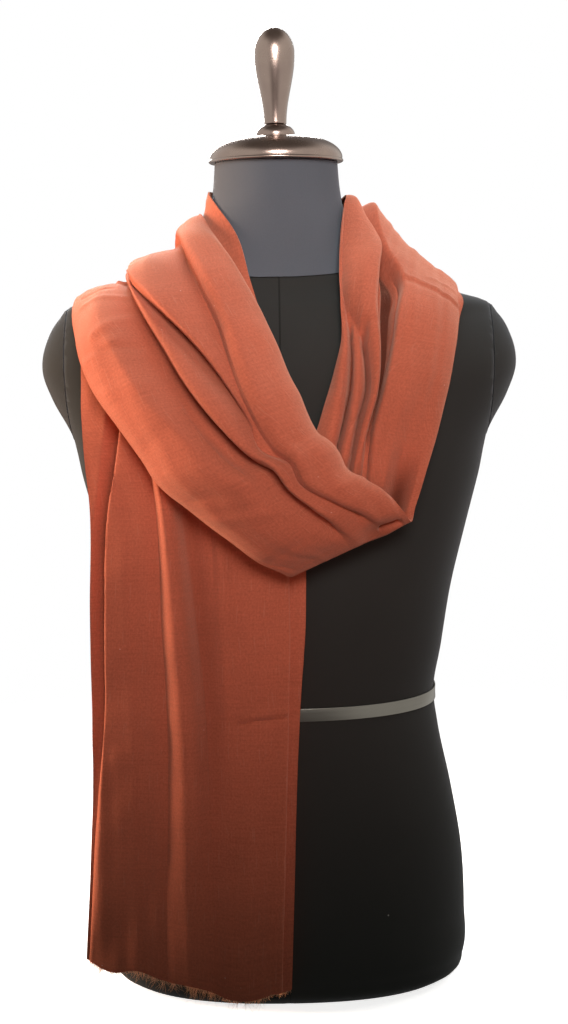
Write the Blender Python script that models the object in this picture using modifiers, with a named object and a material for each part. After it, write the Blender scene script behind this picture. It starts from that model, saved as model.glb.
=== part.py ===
"""Pashmina shawl looped over a limbless dress form.

The shawl is one long ribbon of cloth. From its front hem it climbs the form's right chest, passes
behind the neck, comes down over the left shoulder, turns over along a slanted crease and crosses
the chest as a bunched cowl, then goes over the right shoulder and hangs down the back.
Metres, +Z up, the form's face towards -Y. The origin is the centre of the form's flat base.
"""

import math

import bmesh
import bpy
import numpy as np

MM = 0.001

# ---------------------------------------------------------------- driving sizes
CLOTH = 1.5 * MM             # wall of the shawl
SEAM_GAP = 0.3 * MM          # between two neighbouring pieces
SHAWL_SEAM = 0.4 * MM        # between two stretches, before their walls bend towards each other
LIE_GAP = 1.1 * MM           # least distance of the cloth's wall from the form
FRINGE_BACKING = 2.0 * MM    # depth of the strip that holds the fringe
FRINGE_LENGTH = 9.5 * MM
FRINGE_TIP = 0.35            # width of a strand's tip, as a share of its root
FRONT_STRANDS = 42
BACK_STRANDS = 30
RING_POINTS = 36             # points round the dress form
WAIST_BAND_MID = 251.0 * MM
WAIST_BAND_TALL = 11.0 * MM
WAIST_BAND_THICK = 1.2 * MM
NECK_TOP = 698.0 * MM
NECK_SEAM_HEIGHT = 622.0 * MM
NECK_SEAM_SLOPE = 0.30       # rise of the neck seam for each metre towards the back
ARMHOLE_TOP = (176.5 * MM, 590.0 * MM)
ARMHOLE_FOOT = (173.5 * MM, 485.0 * MM)
CAP_RIM, CAP_TALL, CAP_FLAT = 56.0, 20.5, 16.0       # domed cap of the neck, in mm
CAP_EDGE_ARC, CAP_LIP = 26.0, 2.5
COLLAR_RADIUS, COLLAR_ARC = 16.2, (12.5, 56, 8)      # height, first and last degree of its arc
STEM_RADIUS, BELLY_RADIUS, BELLY_HEIGHT, FINIAL_TALL = 9.2, 16.7, 57.0, 78.0
CHAMFER = 1.0

# ---------------------------------------------------------------- the net
# a row or column spans so many mm, or so many radians of turn, but never less than the last
ROW_STEP = (60.0, 0.22, 8.0)
COLUMN_STEP = (12.0, 0.7, 4.0)
END_ROW = 1.6                # depth in mm of the row along each seam
COLUMNS = 31                 # points across, the same in each stretch so that seams match
SMOOTHING_ROUNDS = 6         # how often the columns' places are evened out along the rows
SETTLE_ROUNDS = 6
LIFT_ROUNDS, LIFT_MOST = 12, 6.0   # steps out of the form, and the most mm in one step

# ---------------------------------------------------------------- how the folds blend
FOLD_BLEND = 4               # power of the sum of the folds: higher keeps only the tallest
FOLD_FADE = 26.0             # mm along the ribbon in which a fold runs out
TURN_OVER = 9.0              # mm on each side of the crease in which the folds change sides

# ---------------------------------------------------------------- dress form, in millimetres
# height, half width, depth of the front, depth of the back, roundness of the ring
FORM_RINGS = (
    (0, 138, 78, 72, 2.3),
    (6, 148, 86, 80, 2.3),
    (20, 153.5, 92, 87, 2.3),
    (60, 154.5, 95, 92, 2.3),
    (113, 152, 95, 95, 2.3),
    (168, 143, 95, 93, 2.3),
    (222, 132, 92, 86, 2.3),
    (251, 128.5, 91, 83, 2.3),
    (292, 135, 95, 84, 2.3),
    (344, 143.5, 102, 88, 2.3),
    (396, 156, 110, 93, 2.3),
    (439, 167, 114, 97, 2.3),
    (477, 176, 114, 99, 2.3),
    (505, 191, 111, 100, 2.2),
    (530, 199, 106, 100, 2.2),
    (553, 195, 97, 97, 2.1),
    (572, 184, 86, 91, 2.0),
    (584, 170, 78, 86, 2.0),
    (590, 148, 72, 82, 2.0),
    (597, 126, 66, 78, 2.0),
    (608, 100, 60, 71, 2.0),
    (620, 80, 56, 66, 2.0),
    (636, 66, 53, 61, 2.0),
    (655, 57, 51, 57, 2.0),
    (675, 53, 50, 54, 2.0),
    (698, 51, 49, 52, 2.0),
)

# ---------------------------------------------------------------- the ribbon, in millimetres
# name, edge A (x, y, z), middle (x, y, z), edge B (x, y, z), tuck, lean
# A is the tail's outer edge and the cowl's upper edge. A tuck of 1 turns both edges in towards
# the form like half an ellipse, and 0 leaves a shallow bow. Lean tips the folds towards B.
SECTIONS = (
    ("front hem", (-164, -111, 57), (-80, -118, 42), (3, -111, 27), 0.0, 0.0),
    ("front knee", (-160, -113, 112), (-78, -120, 106), (6, -113, 100), 0.0, 0.0),
    ("front hip", (-155, -115, 190), (-74, -121, 186), (9, -115, 182), 0.0, 0.0),
    ("front waist", (-153, -116, 262), (-70, -122, 260), (13, -116, 258), 0.0, 0.0),
    ("front ribs", (-152, -117, 345), (-67, -123, 345), (19, -117, 345), 0.0, 0.0),
    ("front chest", (-150, -115, 420), (-66, -124, 420), (17, -118, 420), 0.0, 0.0),
    ("front bust", (-154, -106, 462), (-72, -121, 468), (8, -120, 474), 0.0, 0.0),
    ("front collar", (-157, -88, 512), (-78, -109, 525), (-4, -114, 535), 0.0, 0.0),
    ("front shoulder", (-158, -66, 550), (-90, -84, 570), (-14, -97, 575), 0.0, 0.2),
    ("right neck front", (-154, -42, 577), (-97, -56, 594), (-22, -75, 602), 0.0, 0.3),
    ("right neck side", (-150, -18, 589), (-91, -32, 610), (-32, -54, 636), 0.0, 0.3),
    ("right shoulder", (-145, 5, 592), (-86, 2, 618), (-55, -10, 672), 0.0, 0.3),
    ("right nape side", (-133, 38, 586), (-83, 33, 618), (-52, 28, 677), 0.0, 0.3),
    ("right nape", (-95, 80, 566), (-66, 62, 616), (-35, 50, 682), 0.0, 0.3),
    ("nape", (0, 98, 548), (0, 82, 610), (0, 60, 684), 0.0, 0.3),
    ("left nape", (95, 82, 566), (72, 68, 614), (35, 50, 682), 0.0, 0.3),
    ("left nape side", (136, 40, 590), (98, 34, 614), (52, 28, 676), 0.0, 0.4),
    ("left shoulder", (147, 4, 597), (101, 2, 616), (57, -4, 671), 0.0, 0.5),
    ("left shoulder front", (149, -24, 588), (100, -31, 606), (52, -42, 640), 0.0, 0.4),
    ("drop collar", (148, -47, 576), (98, -63, 590), (49, -67, 610), 0.0, 0.3),
    ("drop top", (144, -66, 561), (96, -86, 568), (49, -86, 582), 0.0, 0.3),
    ("drop breast", (138, -83, 536), (92, -102, 541), (50, -100, 553), 0.0, 0.3),
    ("drop bust", (131, -98, 508), (86, -114, 512), (42, -111, 525), 0.0, 0.3),
    ("drop chest", (122, -111, 478), (77, -118, 484), (33, -119, 497), 0.0, 0.2),
    ("drop low", (113, -121, 452), (67, -125, 449), (22, -126, 460), 0.0, 0.1),
    ("drop end", (104, -129, 425), (58, -131, 408), (11, -131, 391), 0.0, 0.0),
    ("crease", (100, -139, 415), (53, -141, 394), (6, -141, 373), 0.0, 0.0),
    ("turned", (98, -149, 420), (50, -153, 402), (2, -151, 380), 0.3, 0.0),
    ("cowl end", (80, -151, 429), (31, -164, 411), (-18, -152, 387), 0.8, 0.1),
    ("cowl low", (61, -151, 438), (10, -173, 425), (-39, -150, 407), 1.0, 0.2),
    ("cowl lap", (40, -149, 453), (-11, -178, 443), (-64, -148, 426), 1.0, 0.3),
    ("cowl belly", (24, -146, 476), (-28, -178, 462), (-83, -144, 442), 1.0, 0.3),
    ("cowl middle", (12, -139, 511), (-45, -171, 494), (-104, -136, 469), 1.0, 0.3),
    ("cowl breast", (-4, -122, 546), (-64, -154, 525), (-125, -124, 497), 1.0, 0.3),
    ("cowl collar", (-15, -107, 574), (-80, -132, 553), (-146, -106, 525), 0.9, 0.3),
    ("cowl top", (-32, -85, 606), (-93, -108, 583), (-157, -88, 544), 0.7, 0.3),
    ("cowl neck", (-46, -62, 631), (-103, -79, 601), (-164, -66, 561), 0.4, 0.3),
    ("cowl ridge", (-57, -35, 648), (-107, -43, 611), (-168, -40, 578), 0.2, 0.3),
    ("cowl crest", (-65, -2, 658), (-109, 0, 613.5), (-168, 0, 591), 0.1, 0.3),
    ("back crest", (-66, 26, 652), (-110, 30, 611), (-167, 28, 588), 0.1, 0.3),
    ("back yoke", (-64, 60, 638), (-110, 69, 602), (-161, 63, 573), 0.2, 0.3),
    ("back blade", (-57, 94, 603), (-103, 104, 573), (-153, 94, 543), 0.3, 0.3),
    ("back rib", (-46, 108, 546), (-94, 118, 527), (-145, 110, 504), 0.3, 0.2),
    ("back chest", (-37, 115, 490), (-87, 125, 476), (-139, 115, 458), 0.3, 0.1),
    ("back bust", (-31, 117, 420), (-83, 127, 411), (-137, 117, 400), 0.2, 0.0),
    ("back ribs", (-27, 115, 335), (-81, 124, 329), (-138, 114, 322), 0.1, 0.0),
    ("back waist", (-25, 112, 250), (-80, 120, 247), (-141, 111, 243), 0.0, 0.0),
    ("back hip", (-23, 112, 180), (-79, 119, 178), (-145, 110, 176), 0.0, 0.0),
    ("back hem", (-20, 112, 128), (-78, 118, 127), (-149, 110, 127), 0.0, 0.0),
)

# name, first row, last row, place across from A (0) to B (1), half width and height in
# millimetres at the start, middle and end of the run, softness (1 crisp foot, 2 soft foot)
FOLDS = (
    ("tail ridge", "front hip", "front collar",
     (0.45, 0.43, 0.42), (0.10, 0.07, 0.05), (2.5, 6, 8), 2),
    ("tail trough", "front hip", "front collar",
     (0.52, 0.51, 0.50), (0.08, 0.06, 0.05), (-1.5, -3, -4), 2),
    ("tail left wave", "front knee", "front bust",
     (0.25, 0.24, 0.24), (0.10, 0.08, 0.07), (1.5, 2.5, 4), 2),
    ("tail right wave", "front hem", "front chest",
     (0.72, 0.74, 0.75), (0.12, 0.10, 0.08), (3, 2, 2.5), 2),
    ("wrap lower roll", "right nape", "left shoulder",
     (0.20, 0.20, 0.17), (0.19, 0.19, 0.17), (2, 9, 10), 1),
    ("wrap middle roll", "right nape", "left shoulder",
     (0.50, 0.50, 0.49), (0.12, 0.16, 0.21), (2, 10, 14), 1),
    ("wrap upper roll", "right nape", "left shoulder",
     (0.78, 0.78, 0.79), (0.16, 0.13, 0.11), (2, 12, 19), 1.5),
    ("drop panel", "left shoulder front", "drop low",
     (0.25, 0.26, 0.23), (0.25, 0.27, 0.24), (12, 10, 5), 0.8),
    ("drop gully", "left shoulder front", "drop chest",
     (0.58, 0.58, 0.50), (0.07, 0.07, 0.07), (-4, -5, -2), 2),
    ("strand c", "left shoulder front", "drop end",
     (0.79, 0.72, 0.60), (0.14, 0.13, 0.12), (18, 13, 2), 1.2),
    ("strand b", "drop breast", "drop end",
     (0.87, 0.80, 0.74), (0.07, 0.08, 0.08), (2, 7, 2), 1),
    ("strand a", "drop top", "drop end",
     (0.95, 0.96, 0.92), (0.06, 0.07, 0.08), (3, 5, 2), 1),
    ("neck roll", "crease", "cowl crest",
     (0.15, 0.15, 0.14), (0.14, 0.15, 0.12), (3, 11, 3), 1),
    ("crease pleat", "crease", "cowl belly",
     (0.40, 0.385, 0.40), (0.07, 0.09, 0.07), (3, 7, 5), 1),
    ("inner panel", "cowl middle", "cowl crest",
     (0.33, 0.355, 0.48), (0.03, 0.08, 0.23), (2, 5, 12), 1),
    ("bright band", "cowl belly", "cowl crest",
     (0.40, 0.475, 0.63), (0.075, 0.09, 0.11), (5, 11, 7), 1.5),
    ("short pleat", "cowl lap", "cowl collar",
     (0.52, 0.56, 0.58), (0.04, 0.05, 0.03), (2, 7, 2), 1.5),
    ("outer roll", "cowl end", "cowl crest",
     (0.74, 0.77, 0.88), (0.26, 0.23, 0.13), (7, 13, 3), 1),
    ("back near fold", "back crest", "back hem",
     (0.14, 0.19, 0.20), (0.12, 0.15, 0.16), (4, 8, 5), 2),
    ("back middle fold", "back crest", "back hem",
     (0.48, 0.50, 0.50), (0.22, 0.15, 0.15), (12, 9, 6), 2),
    ("back outer fold", "back crest", "back hem",
     (0.88, 0.82, 0.80), (0.12, 0.14, 0.15), (4, 8, 5), 2),
)

# name, first row, last row, place across, half length of the S, overlap across and rise of the
# cloth in millimetres at the start, middle and end of the run (a fall where it is negative)
PLEATS = (
    ("outer pleat", "front hem", "right neck front",
     (0.085, 0.085, 0.13), (0.080, 0.080, 0.080), (0.030, 0.030, 0.0), (6, 6, 2)),
    ("inner pleat", "front hem", "right neck front",
     (0.915, 0.915, 0.89), (0.080, 0.080, 0.080), (0.030, 0.030, 0.0), (-6, -6, -2)),
)

# name of the stretch, first row, last row, rows of its net
STRETCHES = (
    ("front_tail", "front hem", "right shoulder", 21),
    ("neck_wrap", "right shoulder", "left nape side", 15),
    ("left_drop", "left nape side", "drop end", 17),
    ("cowl", "drop end", "cowl crest", 23),
    ("back_tail", "cowl crest", "back hem", 12),
)

# base colour, roughness, metallic
FINISHES = {
    "pashmina": ((0.42, 0.11, 0.055), 0.85, 0.0),
    "pashmina_fringe": ((0.36, 0.09, 0.045), 0.9, 0.0),
    "black_jersey": ((0.022, 0.021, 0.020), 0.8, 0.0),
    "grey_jersey": ((0.085, 0.092, 0.105), 0.8, 0.0),
    "bronze_chrome": ((0.42, 0.33, 0.29), 0.15, 1.0),
    "steel_strip": ((0.50, 0.47, 0.43), 0.25, 1.0),
}


# ---------------------------------------------------------------- scene and material helpers
def clear_scene():
    """Remove every object of the file that the script runs in."""
    for thing in list(bpy.data.objects):
        bpy.data.objects.remove(thing, do_unlink=True)


def finish(name):
    """Return the material of that finish, made once."""
    if name in bpy.data.materials:
        return bpy.data.materials[name]
    colour, roughness, metallic = FINISHES[name]
    material = bpy.data.materials.new(name)
    material.use_nodes = True
    shader = material.node_tree.nodes["Principled BSDF"]
    shader.inputs["Base Color"].default_value = (*colour, 1.0)
    shader.inputs["Roughness"].default_value = roughness
    shader.inputs["Metallic"].default_value = metallic
    return material


def part_collection():
    """Return the collection that holds every piece."""
    name = "pashmina_shawl_on_dress_form"
    if name not in bpy.data.collections:
        bpy.context.scene.collection.children.link(bpy.data.collections.new(name))
    return bpy.data.collections[name]


def add_piece(name, mesh, material_name):
    """Link a mesh as one named piece with its finish, shaded smooth."""
    piece = bpy.data.objects.new(name, mesh)
    mesh.name = name
    mesh.materials.clear()
    mesh.materials.append(finish(material_name))
    mesh.shade_smooth()
    mesh.set_sharp_from_angle(angle=math.radians(40))
    part_collection().objects.link(piece)
    return piece


# ---------------------------------------------------------------- dress form
FORM = np.array(FORM_RINGS, float)


def form_sizes(height):
    """Half width, front depth, back depth and roundness of the form at heights in mm."""
    return tuple(np.interp(height, FORM[:, 0], FORM[:, column]) for column in range(1, 5))


def form_ring(height, grow=0.0):
    """Points in mm of one ring round the form, counter-clockwise from +X."""
    half, front, back, power = form_sizes(height)
    turn = np.linspace(0, 2 * math.pi, RING_POINTS, endpoint=False)
    cos, sin = np.cos(turn), np.sin(turn)
    depth = np.where(sin < 0, front, back)
    across = np.sign(cos) * np.abs(cos) ** (2 / power) * (half + grow)
    along = np.sign(sin) * np.abs(sin) ** (2 / power) * (depth + grow)
    return np.stack([across, along, np.full_like(across, height)], axis=1)


def form_reach(points):
    """How far points in mm lie out of the form: 1 on its surface, more outside."""
    half, front, back, power = form_sizes(points[..., 2])
    depth = np.where(points[..., 1] < 0, front, back)
    return ((np.abs(points[..., 0]) / half) ** power
            + (np.abs(points[..., 1]) / depth) ** power) ** (1 / power)


def clear_form(points, gap):
    """Move points in mm straight out of the form until they lie at least gap from it."""
    step = 0.5
    points = points.copy()
    for _ in range(LIFT_ROUNDS):
        reach = form_reach(points)
        slope = np.stack([
            (form_reach(points + step * axis) - form_reach(points - step * axis)) / (2 * step)
            for axis in np.eye(3)], axis=-1)
        steep = np.maximum(np.linalg.norm(slope, axis=-1), 1e-4)
        distance = (reach - 1) / steep
        short = np.clip(gap - distance, 0, LIFT_MOST)
        points += slope / steep[..., None] * short[..., None]
    return points


def form_blank():
    """Return the whole form, from its flat base to the top of its neck, as one bmesh."""
    blank = bmesh.new()
    rings = [[blank.verts.new(point * MM) for point in form_ring(height)]
             for height in FORM[:, 0]]
    for low, high in zip(rings, rings[1:]):
        for index in range(RING_POINTS):
            after = (index + 1) % RING_POINTS
            blank.faces.new((low[index], low[after], high[after], high[index]))
    blank.faces.new(list(reversed(rings[0])))
    blank.faces.new(rings[-1])
    return blank


def cut_away(body, point, normal):
    """Cut off what lies beyond a plane and close the cut."""
    cut = bmesh.ops.bisect_plane(
        body, geom=body.verts[:] + body.edges[:] + body.faces[:],
        plane_co=point, plane_no=normal, clear_outer=True)
    edges = [item for item in cut["geom_cut"] if isinstance(item, bmesh.types.BMEdge)]
    bmesh.ops.holes_fill(body, edges=edges, sides=0)
    bmesh.ops.recalc_face_normals(body, faces=body.faces[:])


def add_form_piece(name, planes, material_name):
    """Add the share of the form that lies behind each (point, normal) plane."""
    body = form_blank()
    for point, normal in planes:
        cut_away(body, point, normal)
    mesh = bpy.data.meshes.new(name)
    body.to_mesh(mesh)
    body.free()
    return add_piece(name, mesh, material_name)


def add_dress_form():
    """Add the torso, its two shoulder caps and the neck, parted at their seams."""
    half_gap = SEAM_GAP / 2
    neck_up = np.array([0, -NECK_SEAM_SLOPE, 1]) / math.hypot(NECK_SEAM_SLOPE, 1)
    neck_point = np.array([0, 0, NECK_SEAM_HEIGHT])
    top, foot = ARMHOLE_TOP, ARMHOLE_FOOT
    run = math.hypot(top[0] - foot[0], top[1] - foot[1])
    outward = np.array([(top[1] - foot[1]) / run, 0, -(top[0] - foot[0]) / run])
    below_neck = (neck_point - neck_up * half_gap, neck_up)
    sides = {}
    for side, sign in (("right", -1), ("left", 1)):
        mirror = np.array([sign, 1, 1])
        sides[side] = (np.array([foot[0], 0, foot[1]]) * mirror, outward * mirror)
    torso_planes = [below_neck]
    torso_planes += [(point - normal * half_gap, normal) for point, normal in sides.values()]
    add_form_piece("torso", torso_planes, "black_jersey")
    for side, (point, normal) in sides.items():
        add_form_piece(f"shoulder_cap_{side}", [(point + normal * half_gap, -normal)],
                       "black_jersey")
    add_form_piece("neck", [(neck_point + neck_up * half_gap, -neck_up)], "grey_jersey")


def add_waist_band():
    """Add the bright strip round the waist, just clear of the torso."""
    band = bmesh.new()
    heights = ((WAIST_BAND_MID + side * WAIST_BAND_TALL / 2) / MM for side in (-1, 1))
    lower, upper = ([band.verts.new(point * MM) for point in form_ring(height, SEAM_GAP / MM)]
                    for height in heights)
    for index in range(RING_POINTS):
        after = (index + 1) % RING_POINTS
        band.faces.new((lower[index], lower[after], upper[after], upper[index]))
    mesh = bpy.data.meshes.new("waist_band")
    band.to_mesh(mesh)
    band.free()
    piece = add_piece("waist_band", mesh, "steel_strip")
    wall = piece.modifiers.new("wall", "SOLIDIFY")
    wall.thickness = WAIST_BAND_THICK
    wall.offset = 1.0


def add_turned(name, profile, material_name, steps=26):
    """Add a turned piece from a profile of (radius, height) in mm, listed top to bottom."""
    mesh = bpy.data.meshes.new(name)
    points = [(radius * MM, 0, height * MM) for radius, height in profile]
    mesh.from_pydata(points, [(i, i + 1) for i in range(len(points) - 1)], [])
    piece = add_piece(name, mesh, material_name)
    turn = piece.modifiers.new("turn", "SCREW")
    turn.steps = turn.render_steps = steps
    turn.use_merge_vertices = True
    turn.merge_threshold = 0.00001
    return piece


def arc(centre, radius, start, end, count):
    """Points (radius, height) of an arc in the profile's plane, angles in degrees."""
    turns = np.radians(np.linspace(start, end, count))
    return [(centre[0] + radius[0] * math.cos(turn), centre[1] + radius[1] * math.sin(turn))
            for turn in turns]


def add_neck_cap():
    """Add the domed metal cap, the collar on it and the drop-shaped finial."""
    seat = NECK_TOP / MM + SEAM_GAP / MM
    cap_top = seat + CAP_TALL
    shoulder = (CAP_RIM - CAP_EDGE_ARC, seat + CAP_LIP)
    dome = arc(shoulder, (CAP_EDGE_ARC, CAP_TALL - CAP_LIP - CHAMFER), 90, 0, 6)
    add_turned("neck_cap", [(0, cap_top), (CAP_FLAT, cap_top)] + dome
               + [(CAP_RIM - CHAMFER, seat), (0, seat)], "bronze_chrome")
    collar_foot = cap_top + SEAM_GAP / MM
    arc_tall, first_degree, last_degree = COLLAR_ARC
    collar = arc((0, collar_foot), (COLLAR_RADIUS, arc_tall), first_degree, last_degree, 5)
    collar_top = collar[0][1]
    add_turned("finial_collar", [(0, collar_top)] + collar
               + [(COLLAR_RADIUS - CHAMFER, collar_foot), (0, collar_foot)], "bronze_chrome")
    foot = collar_top + SEAM_GAP / MM
    belly = foot + BELLY_HEIGHT
    crown = arc((0, belly), (BELLY_RADIUS, FINIAL_TALL - BELLY_HEIGHT), 90, 0, 7)
    sides = []
    for share in np.linspace(0.84, 0.0, 5):
        swell = (1 - math.cos(math.pi * share)) / 2
        radius = STEM_RADIUS + (BELLY_RADIUS - STEM_RADIUS) * swell
        sides.append((radius, foot + BELLY_HEIGHT * share))
    add_turned("finial", crown + sides + [(0, foot)], "bronze_chrome")


# ---------------------------------------------------------------- the shawl's surface
ROW_NAMES = [row[0] for row in SECTIONS]
ROW_A = np.array([row[1] for row in SECTIONS], float)
ROW_MIDDLE = np.array([row[2] for row in SECTIONS], float)
ROW_B = np.array([row[3] for row in SECTIONS], float)
ROW_TUCK = np.array([row[4] for row in SECTIONS], float)
ROW_LEAN = np.array([row[5] for row in SECTIONS], float)
ROW_RUN = np.concatenate([[0], np.cumsum(np.linalg.norm(np.diff(ROW_MIDDLE, axis=0), axis=1))])


def run_at(name):
    """Distance in mm along the ribbon's middle from the front hem to a named row."""
    return ROW_RUN[ROW_NAMES.index(name)]


def along_rows(values, run):
    """Smooth values of the rows at distances along the ribbon, with a cubic through them."""
    slopes = np.gradient(values, ROW_RUN, axis=0)
    index = np.clip(np.searchsorted(ROW_RUN, run, side="right") - 1, 0, len(ROW_RUN) - 2)
    length = ROW_RUN[index + 1] - ROW_RUN[index]
    t = (run - ROW_RUN[index]) / length
    shape = (...,) + (None,) * (values.ndim - 1)
    t, length = t[shape], length[shape]
    return (values[index] * (1 + 2 * t) * (1 - t) ** 2 + values[index + 1] * t * t * (3 - 2 * t)
            + slopes[index] * length * t * (1 - t) ** 2
            - slopes[index + 1] * length * t * t * (1 - t))


def through_three(values, t):
    """Value at t from 0 to 1 of the parabola through a start, a middle and an end value."""
    start, middle, end = values
    return (start * (1 - t) * (1 - 2 * t) + middle * 4 * t * (1 - t) + end * t * (2 * t - 1))


def ease(t):
    """Smooth step from 0 to 1."""
    t = np.clip(t, 0, 1)
    return t * t * (3 - 2 * t)


def run_share(first, last, run):
    """Place t of a run between two rows, and the fade to nothing past its ends."""
    start, end = run_at(first), run_at(last)
    t = np.clip((run - start) / (end - start), 0, 1)
    keep = ease((run - start) / FOLD_FADE + 1) * ease((end - run) / FOLD_FADE + 1)
    return t, keep


def fold_heights(run, across):
    """Height in mm of the folds above the plain ribbon."""
    ridge, trough = np.zeros(across.shape), np.zeros(across.shape)
    for _, first, last, places, widths, heights, softness in FOLDS:
        t, keep = run_share(first, last, run)
        reach = (across - through_three(places, t)) / through_three(widths, t)
        bump = through_three(heights, t) * keep * np.maximum(1 - reach ** 2, 0) ** softness
        ridge += np.maximum(bump, 0) ** FOLD_BLEND
        trough += np.maximum(-bump, 0) ** FOLD_BLEND
    return ridge ** (1 / FOLD_BLEND) - trough ** (1 / FOLD_BLEND)


def pleat_shift(run, across):
    """Shift across and height in mm of the knife pleats."""
    shift, height = np.zeros(across.shape), np.zeros(across.shape)
    for _, first, last, places, lengths, laps, rises in PLEATS:
        t, keep = run_share(first, last, run)
        reach = (across - through_three(places, t)) / through_three(lengths, t)
        inside = np.abs(reach) < 1
        shift -= np.where(inside, through_three(laps, t) * keep * np.sin(math.pi * reach), 0)
        height += through_three(rises, t) * keep * ease((reach + 0.7) / 1.4)
    return shift, height


def plain_ribbon(run, across):
    """Points in mm of the ribbon before its folds."""
    edge_a, middle, edge_b = (along_rows(rows, run) for rows in (ROW_A, ROW_MIDDLE, ROW_B))
    tuck = along_rows(ROW_TUCK, run)[..., None]
    centre = (edge_a + edge_b) / 2
    share = across[..., None]
    bow = (1 - 2 * share, 1 - (1 - 2 * share) ** 2)
    turn = math.pi * np.clip(share, 0, 1)
    half_ellipse = (np.cos(turn), np.sin(turn))
    sideways = bow[0] + tuck * (half_ellipse[0] - bow[0])
    outward = bow[1] + tuck * (half_ellipse[1] - bow[1])
    return centre + sideways * (edge_a - centre) + outward * (middle - centre)


def ribbon_normal(run, across):
    """Unit normals of the plain ribbon, on the side that faces out on the cowl."""
    step = 1.0
    inner = np.clip(across, 0.02, 0.98)
    lengthwise = plain_ribbon(run + step, inner) - plain_ribbon(run - step, inner)
    crosswise = plain_ribbon(run, inner + 0.01) - plain_ribbon(run, inner - 0.01)
    normal = np.cross(lengthwise, crosswise)
    return normal / np.linalg.norm(normal, axis=-1, keepdims=True)


def shawl_points(run, across):
    """Points in mm of the shawl's middle surface, folds and pleats included."""
    width = np.linalg.norm(along_rows(ROW_A, run) - along_rows(ROW_B, run), axis=-1)
    lean = along_rows(ROW_LEAN, run)
    folds = fold_heights(run, across)
    shift, pleats = pleat_shift(run, across)
    placed = across + shift + lean * folds / width * np.sin(math.pi * across)
    turned_over = np.tanh((run - run_at("crease")) / TURN_OVER)
    height = (folds + pleats) * turned_over
    points = plain_ribbon(run, placed) + ribbon_normal(run, placed) * height[..., None]
    return clear_form(points, (LIE_GAP + CLOTH / 2) / MM)


def share_out(places, paths, steps, count):
    """Pick so many of the places, shared out by the length and the turn of the paths there."""
    effort = np.zeros(places.shape)
    for path in paths:
        moves = np.diff(path, axis=0)
        length = np.linalg.norm(moves, axis=1)
        heading = moves / length[:, None]
        turn = np.linalg.norm(np.diff(heading, axis=0), axis=1)
        density = np.full(length.shape, 1 / steps[0])
        density[1:] += turn / length[1:] / steps[1]
        effort[1:] += length * np.minimum(density, 1 / steps[2])
    effort = np.cumsum(effort)
    return np.interp(np.linspace(0, effort[-1], count), effort, places)


def net_runs(start, end, count):
    """Distances along the ribbon of a net's rows, with a short row at each end."""
    fine = np.linspace(start, end, 400)
    edges = [plain_ribbon(fine, np.full(fine.shape, place)) for place in (0.02, 0.5, 0.98)]
    runs = share_out(fine, edges, ROW_STEP, count - 2)
    return np.concatenate([[start, start + END_ROW], runs[1:-1], [end - END_ROW, end]])


def net_places(runs, count):
    """Places across of a net's columns in each row, which drift with the folds."""
    fine = np.linspace(0, 1, 500)
    places = np.array([share_out(fine, [shawl_points(np.full(fine.shape, run), fine)],
                                 COLUMN_STEP, count) for run in runs])
    for _ in range(SMOOTHING_ROUNDS):
        places[1:-1] = (places[:-2] + 2 * places[1:-1] + places[2:]) / 4
    places[1], places[-2] = places[0], places[-1]
    return places


def settle_net(net):
    """Lift the ends of each lengthwise edge whose middle lies too near the form."""
    for _ in range(SETTLE_ROUNDS):
        middles = (net[1:] + net[:-1]) / 2
        lift = clear_form(middles, (LIE_GAP + CLOTH / 2) / MM) - middles
        push = np.zeros(net.shape)
        push[1:] += lift
        push[:-1] += lift
        push[[0, 1, -2, -1]] = 0
        net = net + push / 2
    return net


def stretch_net(first, last, rows, columns):
    """Net of points in mm of one stretch, drawn back from its end rows by half a seam gap."""
    runs = net_runs(run_at(first), run_at(last), rows)
    places = net_places(runs, columns)
    net = settle_net(shawl_points(np.broadcast_to(runs[:, None], places.shape), places))
    for row, inner in ((0, 1), (-1, -2)):
        inward = net[inner] - net[row]
        inward /= np.linalg.norm(inward, axis=-1, keepdims=True)
        net[row] += inward * SHAWL_SEAM / 2 / MM
    return net


def sheet_mesh(name, net):
    """Carry a flat grid of cloth to the points of a net."""
    rows, columns = net.shape[:2]
    bpy.ops.mesh.primitive_grid_add(x_subdivisions=columns - 1, y_subdivisions=rows - 1)
    grid = bpy.context.object
    mesh = grid.data
    mesh.name = name
    bpy.data.objects.remove(grid)
    flat = np.array([vertex.co[:2] for vertex in mesh.vertices])
    column = np.rint((flat[:, 0] + 1) / 2 * (columns - 1)).astype(int)
    row = np.rint((flat[:, 1] + 1) / 2 * (rows - 1)).astype(int)
    mesh.vertices.foreach_set("co", (net[row, column] * MM).ravel())
    mesh.update()
    return mesh


def add_wall(piece):
    """Give a sheet the thickness of the cloth, half to each side."""
    wall = piece.modifiers.new("wall", "SOLIDIFY")
    wall.thickness = CLOTH
    wall.offset = 0.0
    wall.use_even_offset = True


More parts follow.
